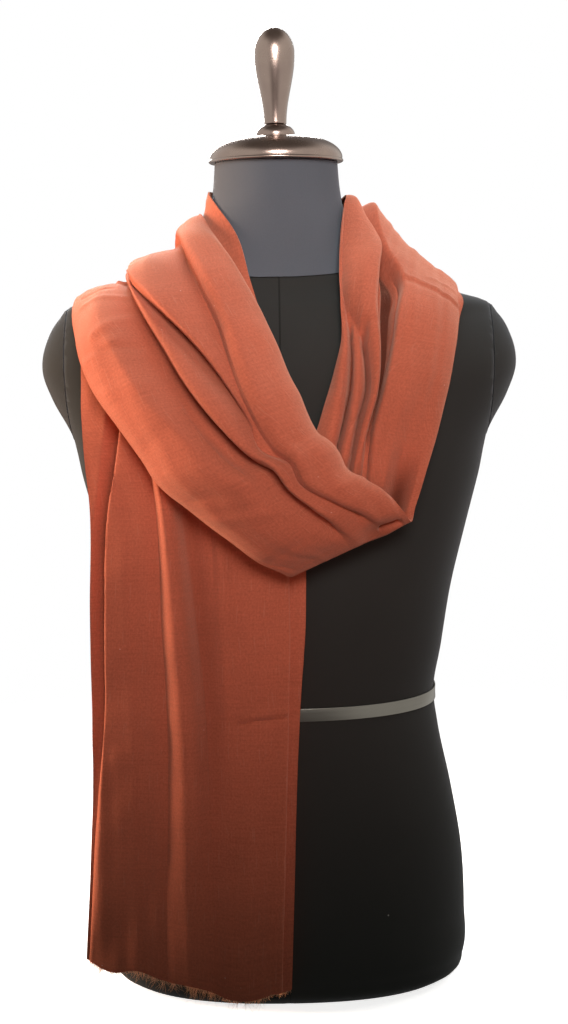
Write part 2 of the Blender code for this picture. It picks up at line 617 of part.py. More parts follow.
def add_fringe(name, hem, inward, strands):
    """Add the strip just outside a hem, with a tapered strand on every second of its faces.

    hem is the hem's row and inward the row next to it, whose difference gives the way down.
    """
    hem_run, inner_run = run_at(hem), run_at(inward)
    out = -1 if inner_run > hem_run else 1
    columns = 2 * strands
    fine = np.linspace(0, 1, 800)
    line = shawl_points(np.full(fine.shape, hem_run), fine)
    places = share_out(fine, [line], (1.0, 1.0, 1.0), columns + 1)
    backing_runs = hem_run + out * np.array([SEAM_GAP, SEAM_GAP + FRINGE_BACKING]) / MM
    run, across = np.meshgrid(backing_runs, places, indexing="ij")
    net = shawl_points(run, across)
    piece = add_piece(name, sheet_mesh(name, net), "pashmina_fringe")
    add_wall(piece)
    solid = bpy.data.meshes.new_from_object(
        piece.evaluated_get(bpy.context.evaluated_depsgraph_get()))
    piece.modifiers.clear()
    body = bmesh.new()
    body.from_mesh(solid)
    down = (net[1] - net[0]) / np.linalg.norm(net[1] - net[0], axis=-1, keepdims=True)
    edge = (net[1, 1:] + net[1, :-1]) / 2 * MM
    for index in range(0, columns, 2):
        face = min(body.faces, key=lambda item: np.linalg.norm(
            np.array(item.calc_center_median()) - edge[index]))
        strand = bmesh.ops.extrude_discrete_faces(body, faces=[face])["faces"][0]
        uneven = 0.82 + 0.18 * math.sin(2.4 * index) + 0.12 * math.sin(0.9 * index)
        drop = down[index] * FRINGE_LENGTH * uneven
        centre = np.array(strand.calc_center_median())
        for vertex in strand.verts:
            place = np.array(vertex.co)
            vertex.co = centre + (place - centre) * FRINGE_TIP + drop
    body.to_mesh(piece.data)
    body.free()
    bpy.data.meshes.remove(solid)
    piece.data.shade_flat()


def add_shawl():
    """Add each stretch of the shawl and the fringes along its two hems."""
    for name, first, last, rows in STRETCHES:
        mesh = sheet_mesh(name, stretch_net(first, last, rows, COLUMNS))
        add_wall(add_piece(name, mesh, "pashmina"))
    add_fringe("fringe_front", "front hem", "front knee", FRONT_STRANDS)
    add_fringe("fringe_back", "back hem", "back hip", BACK_STRANDS)


def main():
    """Build every piece."""
    clear_scene()
    add_dress_form()
    add_waist_band()
    add_neck_cap()
    add_shawl()


main()
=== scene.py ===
"""Looks of a pashmina shawl that is looped over a limbless dress form.

The shawl is one long ribbon of fine wool. From its front hem it climbs the form's right chest,
passes behind the neck, comes down over the left shoulder, turns over along a slanted crease,
crosses the chest as a bunched cowl, and goes over the right shoulder down the back.
+Z is up and the form faces -Y. Tables are in millimetres, and meshes in metres.
"""

import math
from functools import partial

import bpy
import numpy as np
from bpy.props import FloatProperty, FloatVectorProperty, IntProperty, PointerProperty
from mathutils import Matrix, Vector


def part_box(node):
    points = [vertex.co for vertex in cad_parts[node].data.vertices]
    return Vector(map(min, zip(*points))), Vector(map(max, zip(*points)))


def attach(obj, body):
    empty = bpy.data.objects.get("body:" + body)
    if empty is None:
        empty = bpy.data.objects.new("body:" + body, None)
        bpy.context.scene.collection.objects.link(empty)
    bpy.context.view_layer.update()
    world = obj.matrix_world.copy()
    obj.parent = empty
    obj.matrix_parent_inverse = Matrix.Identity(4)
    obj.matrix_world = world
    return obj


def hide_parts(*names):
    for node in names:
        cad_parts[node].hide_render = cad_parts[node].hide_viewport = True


bl_info = {
    "name": "Shawl on a Dress Form",
    "version": (1, 0, 0),
    "blender": (4, 5, 0),
    "location": "View3D > Sidebar > Shawl",
    "description": "Models a draped pashmina shawl and the dress form that carries it",
    "category": "Object",
}

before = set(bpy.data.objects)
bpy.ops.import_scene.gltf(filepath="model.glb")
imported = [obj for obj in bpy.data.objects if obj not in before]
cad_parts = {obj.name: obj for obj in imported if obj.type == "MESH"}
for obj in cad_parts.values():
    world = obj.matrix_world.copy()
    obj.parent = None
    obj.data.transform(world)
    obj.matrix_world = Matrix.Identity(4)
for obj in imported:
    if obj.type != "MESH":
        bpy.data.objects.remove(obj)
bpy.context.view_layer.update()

MM = 0.001
BODY = "root"
UV_NAME = "cloth"
FOLD_SHADE_NAME = "hollow"       # attribute for painted shade: how deep in a fold, from 0 to 1
DEEPEST = 11                 # mm below the plain ribbon at which it reaches 1
MERGE_WITHIN = 0.01 * MM

# ---------------------------------------------------------------- dress form, in millimetres
# height, half width, depth of the front, depth of the back, roundness of the ring
FORM_RINGS = (
    (0, 138, 78, 72, 2.3),
    (6, 148, 86, 80, 2.3),
    (20, 153.5, 92, 87, 2.3),
    (60, 154.5, 95, 92, 2.3),
    (113, 152, 95, 95, 2.3),
    (168, 143, 95, 93, 2.3),
    (222, 132, 92, 86, 2.3),
    (251, 128.5, 91, 83, 2.3),
    (292, 135, 95, 84, 2.3),
    (344, 143.5, 102, 88, 2.3),
    (396, 156, 110, 93, 2.3),
    (439, 167, 114, 97, 2.3),
    (477, 176, 114, 99, 2.3),
    (505, 191, 111, 100, 2.2),
    (530, 199, 106, 100, 2.2),
    (553, 195, 97, 97, 2.1),
    (572, 184, 86, 91, 2.0),
    (584, 170, 78, 86, 2.0),
    (590, 148, 72, 82, 2.0),
    (597, 126, 66, 78, 2.0),
    (608, 100, 60, 71, 2.0),
    (620, 80, 56, 66, 2.0),
    (636, 66, 53, 61, 2.0),
    (655, 57, 51, 57, 2.0),
    (675, 53, 50, 54, 2.0),
    (698, 51, 49, 52, 2.0),
)
NECK_SEAM_HEIGHT = 622.0
NECK_SEAM_SLOPE = 0.30       # rise of the neck seam for each mm towards the back
ARMHOLE_TOP = (176.5, 590.0)
ARMHOLE_FOOT = (173.5, 485.0)
SEAM_GAP = 0.3               # mm between two pieces of the form
FRONT_SEAM_PLACE = 1.0       # x of the upright seam down the middle of the front
UPRIGHT_FURROW = (1.2, 0.5)  # half width and depth of the furrow along an upright seam
JOIN_FURROW = (1.4, 0.45)    # the same along a seam between two pieces
FORM_NET = (230, 161)        # rows and columns of the form's net
NET_CROWDING = 4             # mm by which its rows move towards the middle of the form
TURN_CROWDING = 0.12         # radians by which its columns close up in front, behind and beside
WAIST_BAND_MID = 251.0
WAIST_BAND_TALL = 11.0
WAIST_BAND_THICK = 1.1
WAIST_BAND_ROUND = 0.35      # width of the bevel on its edges
WAIST_BAND_GAP = 0.4
WAIST_BAND_NET = (3, 193)
TURNED_STEPS = 96            # steps round a turned piece and the floor

# ---------------------------------------------------------------- the ribbon, in millimetres
# name, edge A (x, y, z), middle (x, y, z), edge B (x, y, z), tuck
# A is the tail's outer edge and the cowl's upper edge. A tuck of 1 turns both edges in towards
# the form like half an ellipse, and 0 leaves a shallow bow.
SECTIONS = (
    ("front hem", (-164, -111, 57), (-80, -118, 42), (3, -111, 27), 0.0),
    ("front knee", (-160, -113, 112), (-78, -120, 106), (6, -113, 100), 0.0),
    ("front hip", (-155, -115, 190), (-74, -121, 186), (9, -115, 182), 0.0),
    ("front waist", (-153, -116, 262), (-70, -122, 260), (13, -116, 258), 0.0),
    ("front ribs", (-152, -117, 345), (-67, -123, 345), (19, -117, 345), 0.0),
    ("front chest", (-150, -115, 420), (-66, -124, 420), (17, -118, 420), 0.0),
    ("front bust", (-154, -106, 462), (-72, -121, 468), (8, -120, 474), 0.0),
    ("front collar", (-157, -88, 512), (-78, -109, 525), (-4, -114, 535), 0.0),
    ("front shoulder", (-158, -66, 550), (-90, -84, 570), (-14, -97, 575), 0.0),
    ("right neck front", (-154, -42, 577), (-97, -56, 594), (-22, -75, 602), 0.0),
    ("right neck side", (-150, -18, 589), (-91, -32, 610), (-32, -54, 636), 0.0),
    ("right shoulder", (-145, 5, 592), (-86, 2, 618), (-55, -10, 672), 0.0),
    ("right nape side", (-133, 38, 586), (-83, 33, 618), (-52, 28, 677), 0.0),
    ("right nape", (-95, 80, 566), (-66, 62, 616), (-35, 50, 682), 0.0),
    ("nape", (0, 98, 548), (0, 82, 610), (0, 60, 684), 0.0),
    ("left nape", (95, 82, 566), (72, 68, 614), (35, 50, 679), 0.0),
    ("left nape side", (136, 40, 590), (98, 34, 614), (52, 28, 668), 0.0),
    ("left shoulder", (147, 4, 597), (101, 2, 616), (56, -4, 668), 0.0),
    ("left shoulder front", (149, -24, 588), (100, -31, 606), (52, -42, 640), 0.0),
    ("drop collar", (148, -47, 576), (98, -63, 590), (49, -67, 610), 0.0),
    ("drop top", (144, -66, 561), (96, -86, 568), (49, -86, 582), 0.0),
    ("drop breast", (138, -83, 536), (92, -102, 541), (50, -100, 553), 0.0),
    ("drop bust", (131, -98, 508), (86, -114, 512), (42, -111, 525), 0.0),
    ("drop chest", (122, -111, 478), (77, -118, 484), (33, -119, 497), 0.0),
    ("drop low", (113, -121, 452), (67, -125, 449), (22, -126, 460), 0.0),
    ("drop end", (104, -129, 425), (58, -131, 408), (11, -131, 391), 0.0),
    ("crease", (100, -139, 415), (53, -141, 394), (8, -141, 374), 0.0),
    ("turned", (93, -149, 424), (47, -153, 402), (-2, -152, 379), 0.3),
    ("cowl end", (80, -151, 438), (31, -164, 413), (-18, -152, 387), 0.8),
    ("cowl low", (62, -151, 447), (11, -173, 427), (-39, -150, 407), 1.0),
    ("cowl lap", (47, -149, 457), (-8, -178, 444), (-64, -148, 426), 1.0),
    ("cowl knee", (40, -148, 472), (-16, -180, 456), (-74, -146, 434), 1.0),
    ("cowl belly", (29, -146, 479), (-28, -178, 465), (-85, -144, 444), 1.0),
    ("cowl middle", (12, -139, 511), (-45, -171, 494), (-104, -136, 469), 1.0),
    ("cowl breast", (-4, -122, 546), (-64, -154, 525), (-125, -124, 497), 1.0),
    ("cowl collar", (-15, -107, 574), (-80, -132, 553), (-146, -106, 525), 0.9),
    ("cowl top", (-32, -85, 606), (-93, -108, 583), (-157, -88, 544), 0.7),
    ("cowl neck", (-46, -62, 631), (-103, -79, 601), (-164, -66, 561), 0.4),
    ("cowl ridge", (-57, -35, 648), (-107, -43, 611), (-168, -40, 578), 0.2),
    ("cowl crest", (-65, -2, 658), (-109, 0, 613.5), (-168, 0, 591), 0.1),
    ("back crest", (-66, 26, 652), (-110, 30, 611), (-167, 28, 588), 0.1),
    ("back yoke", (-64, 60, 638), (-110, 69, 602), (-161, 63, 573), 0.2),
    ("back blade", (-57, 94, 603), (-103, 104, 573), (-153, 94, 543), 0.3),
    ("back rib", (-46, 108, 546), (-94, 118, 527), (-145, 110, 504), 0.3),
    ("back chest", (-37, 115, 490), (-87, 125, 476), (-139, 115, 458), 0.3),
    ("back bust", (-31, 117, 420), (-83, 127, 411), (-137, 117, 400), 0.2),
    ("back ribs", (-27, 115, 335), (-81, 124, 329), (-138, 114, 322), 0.1),
    ("back waist", (-25, 112, 250), (-80, 120, 247), (-141, 111, 243), 0.0),
    ("back hip", (-23, 112, 180), (-79, 119, 178), (-145, 110, 176), 0.0),
    ("back hem", (-20, 112, 128), (-78, 118, 127), (-149, 110, 127), 0.0),
)

# name, softness of the foot towards A and towards B, lean of the crest towards B for each mm of
# height, then a row for each station: row of the ribbon, then place across, reach towards A and
# reach towards B in percent of the width, height in mm (a valley where it is negative)
FOLDS = (
    ("front panel", (0.5, 1.2), -0.4, (
        ("front hem", 3.5, 2, 40, 1.5),
        ("front hip", 4.5, 2, 40, 3),
        ("front waist", 7.5, 2, 45, 5),
        ("front ribs", 8.5, 2, 50, 6),
        ("front chest", 10.5, 2, 50, 8),
        ("front bust", 19, 2.5, 45, 9),
        ("front collar", 26, 3, 40, 8),
    )),
    ("left strip", (1.5, 1), 0, (
        ("front hip", 1.5, 5, 2.5, -1),
        ("front waist", 4.5, 5, 2.5, -3),
        ("front ribs", 5.5, 5, 2.5, -5),
        ("front chest", 7.5, 6, 2.5, -7),
        ("front bust", 15.5, 8, 3, -7),
        ("front collar", 22, 8, 4, -3),
    )),
    ("tail ridge", (1.4, 1.3), -0.15, (
        ("front hem", 50, 12, 14, 4),
        ("front hip", 47.5, 10, 11, 9),
        ("front waist", 45.5, 9.5, 9, 14),
        ("front ribs", 42, 8.5, 7.5, 17),
        ("front chest", 39, 6.5, 6, 18),
        ("front bust", 39.5, 6, 6, 16),
        ("front collar", 41, 6, 6.5, 7),
    )),
    ("tail trough", (2, 2), 0, (
        ("front hem", 65, 10, 12, -1),
        ("front hip", 60, 8, 12, -2.5),
        ("front waist", 56, 6, 10, -4),
        ("front ribs", 50.5, 5, 9, -6),
        ("front chest", 46.5, 4.5, 8, -7),
        ("front bust", 46.5, 4.5, 8, -7),
        ("front collar", 49, 5, 8, -3),
    )),
    ("tail right wave", (2, 2), 0, (
        ("front hem", 74, 16, 16, 4),
        ("front hip", 73, 14, 15, 2.5),
        ("front ribs", 76, 10, 11, 1.5),
        ("front chest", 78, 8, 8, 2),
    )),
    ("tail first streak", (2, 2), 0, (
        ("front waist", 66, 6, 6, 1),
        ("front ribs", 62, 5, 6, 2.5),
        ("front chest", 59, 4, 5, 4),
        ("front bust", 58, 4, 5, 4),
    )),
    ("tail second streak", (2, 2), 0, (
        ("front ribs", 75, 5, 6, 1),
        ("front chest", 72, 4, 5, 2.5),
        ("front bust", 70, 4, 5, 3),
    )),
    ("wrap lower roll", (1, 1), -0.1, (
        ("right nape", 20, 19, 19, 2),
        ("nape", 20, 19, 18, 9),
        ("left nape", 16, 15, 15, 10),
        ("left nape side", 12, 12, 16, 6),
    )),
    ("wrap middle roll", (1, 1), 0, (
        ("right nape", 50, 13, 13, 2),
        ("nape", 50, 15, 15, 10),
        ("left nape", 44, 15, 14, 12),
        ("left nape side", 38, 16, 15, 8),
    )),
    ("wrap upper roll", (1.2, 1.2), 0.1, (
        ("right nape", 78, 15, 15, 2),
        ("nape", 77, 13, 13, 10),
        ("left nape", 73, 12, 12, 14),
        ("left nape side", 69, 12, 10, 10),
    )),
    ("drop panel", (0.7, 0.7), 0.35, (
        ("left nape side", 80, 78, 8, 10),
        ("left shoulder", 85, 85, 5, 19),
        ("left shoulder front", 67, 67, 6, 17),
        ("drop collar", 46, 46, 6, 15),
        ("drop top", 48, 48, 6, 15),
        ("drop breast", 49, 49, 6, 13),
        ("drop bust", 50, 50, 6, 11),
        ("drop chest", 49, 49, 6, 9),
        ("drop low", 42, 42, 8, 6),
        ("drop end", 34, 34, 12, 3),
    )),
    ("drop gully", (2, 2), 0, (
        ("left shoulder", 90.5, 3, 3, -4),
        ("left shoulder front", 73.5, 5, 5, -7),
        ("drop collar", 60, 7, 8, -16),
        ("drop top", 61, 7, 8, -16),
        ("drop breast", 60, 6, 7, -14),
        ("drop bust", 58, 5, 6, -10),
        ("drop chest", 57.5, 4, 5, -6),
    )),
    ("strand c", (0.9, 0.9), -0.1, (
        ("left nape", 95, 5, 5, 4),
        ("left nape side", 95, 6, 5, 8),
        ("left shoulder", 95.5, 4.5, 5, 9),
        ("left shoulder front", 80, 6, 18, 17),
        ("drop collar", 77, 7, 20, 18),
        ("drop top", 77, 7, 20, 17),
        ("drop breast", 71, 5, 10, 15),
        ("drop bust", 65, 4, 6, 12),
        ("drop chest", 63.5, 4, 5, 9),
        ("drop low", 60, 5, 5, 4),
    )),
    ("strand b", (0.9, 0.9), 0.1, (
        ("drop top", 93, 5, 5, 2),
        ("drop breast", 86, 6, 6, 6.5),
        ("drop bust", 78, 7, 6, 11),
        ("drop chest", 74, 6, 6, 11),
        ("drop low", 72, 7, 7, 8),
        ("drop end", 70, 8, 8, 2.5),
    )),
    ("strand a", (0.9, 0.9), 0.1, (
        ("drop top", 100, 4, 6, 3.5),
        ("drop breast", 97, 4, 6, 7),
        ("drop bust", 92, 6, 8, 9),
        ("drop chest", 88, 6, 12, 9.5),
        ("drop low", 88, 7, 12, 7),
        ("drop end", 88, 8, 12, 2.5),
    )),
    ("neck roll", (1, 1), 0.4, (
        ("turned", 17, 17, 9, 3),
        ("cowl end", 25, 25, 7, 7),
        ("cowl low", 27.5, 27, 6, 10),
        ("cowl lap", 29.5, 29, 6, 12),
        ("cowl belly", 28, 28, 6, 13),
        ("cowl middle", 28.5, 28, 6, 13),
        ("cowl breast", 26.5, 26, 6, 13),
        ("cowl collar", 24.5, 24, 6, 13),
        ("cowl top", 23.5, 23, 6, 12),
        ("cowl neck", 20.5, 20, 6, 11),
        ("cowl ridge", 18, 17, 6, 9),
        ("cowl crest", 16, 15, 8, 7),
        ("back crest", 15, 14, 11, 6),
        ("back blade", 16, 13, 12, 6),
        ("back chest", 18, 14, 13, 8),
        ("back waist", 20, 16, 15, 7),
        ("back hem", 20, 17, 16, 6),
    )),
    ("inner panel", (2, 0.9), 0.4, (
        ("cowl knee", 32, 5, 4, 2),
        ("cowl belly", 34, 5, 4, 7),
        ("cowl middle", 34.5, 6, 4, 10),
        ("cowl breast", 36, 11, 4, 12),
        ("cowl collar", 39.5, 17, 4, 14),
        ("cowl top", 46, 25, 4, 15),
        ("cowl neck", 50, 30, 4, 14),
        ("cowl ridge", 53, 33, 4.5, 11),
        ("cowl crest", 52, 25, 7, 9),
        ("back crest", 50, 22, 14, 10),
        ("back blade", 48, 20, 18, 11),
        ("back chest", 49, 16, 15, 9),
        ("back waist", 50, 15, 15, 7),
        ("back hem", 50, 15, 15, 6),
    )),
    ("bright band", (2, 0.9), 0.4, (
        ("turned", 42, 8, 7, 2),
        ("cowl end", 40, 8, 5, 5),
        ("cowl low", 38, 8, 4.5, 8),
        ("cowl lap", 38, 8, 4.5, 10),
        ("cowl belly", 40, 8, 4.5, 11),
        ("cowl middle", 45.5, 8, 4.5, 11),
        ("cowl breast", 48.5, 7, 4, 10),
        ("cowl collar", 49.5, 6, 4, 9),
        ("cowl top", 53, 5, 3.5, 8),
        ("cowl neck", 55, 4, 3, 7),
        ("cowl ridge", 58.5, 3, 3, 6),
        ("cowl crest", 60, 3, 3, 4),
    )),
    ("short pleat", (1.5, 0.9), 0.3, (
        ("cowl lap", 50, 3, 4, 1),
        ("cowl belly", 49, 3, 5, 5),
        ("cowl middle", 53.5, 3, 5, 6),
        ("cowl breast", 56, 2, 3, 2),
    )),
    ("outer roll", (2, 0.9), 0, (
        ("turned", 72, 26, 28, 2),
        ("cowl end", 66, 24, 32, 6),
        ("cowl low", 62, 22, 36, 9),
        ("cowl lap", 60, 20, 38, 11),
        ("cowl belly", 61, 19, 37, 13),
        ("cowl middle", 66, 18, 33, 14),
        ("cowl breast", 69, 19, 31, 14),
        ("cowl collar", 71, 21, 29, 14),
        ("cowl top", 75.5, 23, 24.5, 12),
        ("cowl neck", 78.5, 24, 21.5, 9),
        ("cowl ridge", 82, 22, 18, 6),
        ("cowl crest", 86, 18, 14, 3),
        ("back crest", 86, 16, 14, 4),
        ("back blade", 86, 14, 13, 6),
        ("back chest", 82, 16, 15, 8),
        ("back waist", 81, 17, 16, 7),
        ("back hem", 80, 18, 17, 6),
    )),
    ("roll valley", (1, 1.6), 0, (
        ("cowl low", 34.5, 2.5, 5, -2),
        ("cowl belly", 34.5, 2.5, 6, -4.5),
        ("cowl middle", 35, 2.5, 8, -7),
        ("cowl breast", 33, 2.5, 11, -8.5),
        ("cowl collar", 31.5, 3, 14, -9),
        ("cowl top", 31, 3, 16, -9),
        ("cowl neck", 28, 3, 17, -8),
        ("cowl ridge", 25, 3, 16, -5),
        ("cowl crest", 24, 4, 12, -2.5),
    )),
    ("panel valley", (1, 2), 0, (
        ("cowl middle", 38.5, 2, 5, -3.5),
        ("cowl breast", 40.5, 2, 6, -5.5),
        ("cowl collar", 44, 2, 5, -6.5),
        ("cowl top", 50.5, 2, 3, -6.5),
        ("cowl neck", 54.5, 1.5, 1.5, -4),
    )),
    ("band valley", (1, 1.6), 0, (
        ("cowl end", 46, 3, 8, -2),
        ("cowl low", 43.5, 2.5, 10, -4.5),
        ("cowl lap", 43.5, 2.5, 11, -6.5),
        ("cowl belly", 45.5, 2.5, 12, -7.5),
        ("cowl middle", 51, 2, 13, -8.5),
        ("cowl breast", 54, 2, 15, -9),
        ("cowl collar", 55, 2, 16, -9),
        ("cowl top", 58, 2, 16, -8),
        ("cowl neck", 60, 2, 14, -6),
        ("cowl ridge", 62, 2, 10, -3),
    )),
    ("corner pocket", (1.5, 1.5), 0, (
        ("drop bust", 22, 14, 14, -1),
        ("drop chest", 20, 14, 16, -3),
        ("drop low", 18, 12, 16, -11.5),
        ("drop end", 20, 15, 18, -12),
        ("crease", 22, 18, 18, -7),
    )),
    ("strand gap bc", (1.5, 1.5), 0, (
        ("drop breast", 81, 3.5, 3.5, -6),
        ("drop bust", 71, 3, 3, -9),
        ("drop chest", 69, 3, 3, -9),
        ("drop low", 65.5, 3, 3, -6),
    )),
    ("strand gap ab", (1.5, 1.5), 0, (
        ("drop breast", 92, 3, 3, -5),
        ("drop bust", 85, 3.5, 3, -9),
        ("drop chest", 80.5, 3, 3, -9),
        ("drop low", 79, 3, 3, -6),
    )),
    ("shoulder notch", (2, 2), 0, (
        ("cowl neck", 64, 3, 4, -1),
        ("cowl ridge", 64.5, 3.5, 5, -4),
        ("cowl crest", 66, 5, 6, -5),
        ("back crest", 67, 6, 7, -3),
    )),
)

# name, then a row for each station: row of the ribbon, then place across, half length of the S
# and overlap in percent of the width, rise of the cloth in mm (a fall where it is negative)
PLEATS = (
    ("outer pleat", (
        ("front hem", 3.5, 3, 0, 0),
        ("front hip", 4.5, 3, 0.6, 1),
        ("front waist", 7.5, 4, 1.2, 1),
        ("front ribs", 8.5, 4.5, 1.6, 1),
        ("front chest", 10.5, 5, 2, 1),
        ("front bust", 19, 6, 2.2, 1),
        ("front collar", 26, 8, 1, 1),
    )),
    ("inner pleat", (
        ("front hem", 94.5, 4.5, 2, -4),
        ("front waist", 93.5, 5.5, 2.5, -5),
        ("front ribs", 91.5, 7, 3, -6),
        ("front bust", 90, 8, 3, -5),
        ("front collar", 90, 8, 1, -2),
    )),
)

# short creases and tucks that cross the cloth: row of the ribbon, mm past it, place of the start
# and of the end in percent of the width, slant towards the end, half width and height in mm
CREASES = (
    ("front waist", -7, 70, 96, 5, 2, -3.2),
    ("front waist", -2, 70, 96, 5, 3.5, 1.4),
    ("front hip", 40, 10, 30, 4, 9, 0.8),
    ("front knee", 12, 55, 85, -6, 12, 1),
    ("front ribs", 30, 10, 33, 6, 8, 0.7),
    ("drop collar", 2, 3, 50, -6, 1.8, 1.3),
    ("drop collar", 7, 3, 50, -6, 3, -0.9),
    ("left shoulder front", 14, 5, 30, 8, 3, 0.9),
    ("drop top", 14, 66, 90, 2, 1.8, -0.8),
    ("drop breast", 18, 8, 42, -6, 7, 0.7),
    ("drop chest", 10, 10, 38, 7, 8, 0.6),
    ("cowl ridge", -4, 70, 92, 10, 4, -1),
    ("cowl neck", 4, 62, 90, 14, 5, 1),
    ("cowl top", 2, 62, 80, -10, 6, 1.1),
    ("cowl collar", 6, 60, 84, 12, 5, -0.9),
    ("cowl collar", 18, 66, 92, -8, 7, 1),
    ("cowl breast", 8, 62, 86, 9, 6, 0.9),
    ("cowl middle", 10, 58, 82, -8, 7, -0.8),
    ("cowl belly", 4, 60, 90, 10, 8, 0.9),
    ("cowl lap", 8, 52, 80, 9, 5, -0.9),
    ("cowl low", 10, 50, 84, 12, 5, 1),
    ("cowl end", 4, 56, 88, -7, 4, -0.9),
    ("cowl low", 0, 5, 26, 8, 5, 0.9),
    ("cowl lap", 16, 4, 28, -6, 6, -0.8),
    ("cowl middle", 0, 5, 27, 5, 8, 0.7),
    ("crease", 5, 6, 24, 0, 4, -10),
    ("cowl crest", -4, 60, 72, 6, 3.5, 3),
    ("cowl crest", -14, 60, 80, 6, 4, -2),
    ("cowl crest", 6, 28, 60, 9, 7, 0.9),
    ("back yoke", 10, 30, 70, -8, 8, 0.9),
    ("back blade", 20, 55, 90, 9, 8, -0.8),
    ("back bust", 20, 15, 50, 7, 12, 0.8),
    ("back waist", 5, 45, 85, -8, 14, 0.9),
    ("nape", -20, 15, 70, 10, 7, 0.9),
    ("nape", 26, 30, 85, -8, 7, -0.8),
    ("left nape", 20, 20, 60, 8, 6, 0.8),
)

# name of the stretch, first row, last row, rows and columns of its net, what it rests on
STRETCHES = (
    ("front_tail", "front hem", "right shoulder", 250, 190, "torso"),
    ("neck_wrap", "right shoulder", "left nape side", 110, 200, "neck"),
    ("left_drop", "left nape side", "drop end", 160, 240, "torso"),
    ("cowl", "drop end", "cowl crest", 210, 225, "front_tail_cloth"),
    ("back_tail", "cowl crest", "back hem", 200, 190, "torso"),
)

# fringe, row of its hem, next row inward and the stretch it belongs to
HEMS = (
    ("fringe_front", "front hem", "front knee", "front_tail"),
    ("fringe_back", "back hem", "back hip", "back_tail"),
)

# each dip of the hems: its place and half width across as shares of the width, its drop in mm
HEM_DIPS = (
    (0.72, 0.32, 14),
    (0.40, 0.20, 7),
    (0.12, 0.16, 8),
    (0.97, 0.05, 3),
)
HEM_REACH = 60.0                   # mm above a hem in which its dips run out

# waves of the soft unevenness: turn in radians for each mm along and across, turn of the slow
# bend, phase and share of the height
RIPPLES = (
    (0.031, 0.020, 0.011, 0.4, 0.34),
    (0.070, -0.047, 0.017, 2.1, 0.20),
    (-0.043, 0.110, 0.013, 4.4, 0.16),
    (0.022, 0.260, 0.009, 1.2, 0.13),
    (-0.115, 0.150, 0.021, 5.3, 0.09),
    (0.015, 0.420, 0.007, 3.6, 0.08),
)
RIPPLE_BEND = 1.7                  # radians by which the slow bend shifts a wave
RIBBON_WIDTH = 170.0               # mm: what a place across of 1 is for the waves

PATH_STEPS = 420                   # points of the path that a row's columns are shared out on
COLUMN_STEP = (1.2, 0.10, 0.35)    # mm, radians of turn and least mm to a column
SMOOTHING_ROUNDS = 12
FOLD_BLEND = 4                     # power of the sum of the folds: higher keeps only the tallest
FOLD_FADE = 26.0                   # mm along the ribbon in which a fold runs out
PLEAT_RAMP = 0.7                   # share of a pleat's half length, each way, where cloth rises
CREASE_FADE = 4                    # a crease fades at each end within a quarter of its length
TURN_OVER = 9.0                    # mm on each side of the crease where the folds change sides
LIE_GAP = 0.9                      # least distance in mm of the cloth from the form
LIFT_WITHIN = 1.25                 # share of the form's size within which cloth is lifted off it
LIFT_ROUNDS = 4
LIFT_MOST = 6.0                    # mm in one round

FRINGE_SEED = 3                    # random seed of the first hem; the next hem's is one higher
HEM_STEPS = 900                    # points of a hem's line that the yarn ends are spread on
YARN_POINTS = 6
YARN_RADIUS = 0.12
YARN_TAPER = 0.75                  # share of its radius that a yarn end loses towards its tip
YARN_HOLD = 1.0                    # mm inside the hem at which it starts
YARN_LEAST = 0.35                  # length between the locks, as a share of that in a lock
YARN_STRETCH = 1.6                 # makes up for the random shares, which seldom come near 1
YARN_SPREAD = 0.20                 # random part of its direction
YARN_SWAY = 0.25                   # sideways part of its direction, which changes along the hem
YARN_CURL = 0.5


# ---------------------------------------------------------------- sizes and colours
def colour_setting(name, description, default):
    """A colour that a user may change."""
    return FloatVectorProperty(
        name=name, description=description, subtype="COLOR", size=3, default=default,
        min=0, max=1)


def length_setting(name, description, default, least, most):
    """A length that a user may change, given in millimetres."""
    return FloatProperty(
        name=name, description=description, default=default * MM, min=least * MM,
        max=most * MM, unit="LENGTH")


def strength_setting(name, description, default, most):
    """A strength that a user may change."""
    return FloatProperty(name=name, description=description, default=default, min=0, max=most)


class ShawlSettings(bpy.types.PropertyGroup):
    """Sizes and colours of the shawl."""

    thickness: length_setting("Thickness", "Wall of the folded cloth", 1.2, 0.5, 3)
    ripple: length_setting(
        "Ripple", "Height of the soft unevenness all over the cloth", 1.9, 0, 4)
    crease: strength_setting("Creases", "Strength of the short creases", 1.0, 2)
    colour: colour_setting("Colour", "Dye of the wool", (0.400, 0.0985, 0.054))
    thread: length_setting("Thread", "Width of one thread of the weave", 0.55, 0.2, 2)
    fringe_length: length_setting("Fringe length", "Longest yarn end of the hems", 8, 2, 30)
    fringe_density: IntProperty(
        name="Fringe density", description="Yarn ends for each centimetre of hem",
        default=75, min=5, max=100)


class FormSettings(bpy.types.PropertyGroup):
    """Colours of the dress form."""

    jersey: colour_setting("Jersey", "Cloth of the torso", (0.026, 0.0255, 0.0235))
    neck: colour_setting("Neck", "Cloth of the neck", (0.085, 0.093, 0.108))
    metal: colour_setting("Metal", "Tint of the cap and finial", (0.24, 0.175, 0.155))
    strip: colour_setting("Waist strip", "Tint of the steel strip", (0.17, 0.16, 0.14))


class StageSettings(bpy.types.PropertyGroup):
    """Light of the stage."""

    key: strength_setting("Key light", "Power of the light above and in front", 130, 500)
    side: strength_setting(
        "Side light", "Power of the warm light from the form's right", 24, 500)
    sky: strength_setting("Surroundings", "Brightness of the pale room", 0.045, 5)


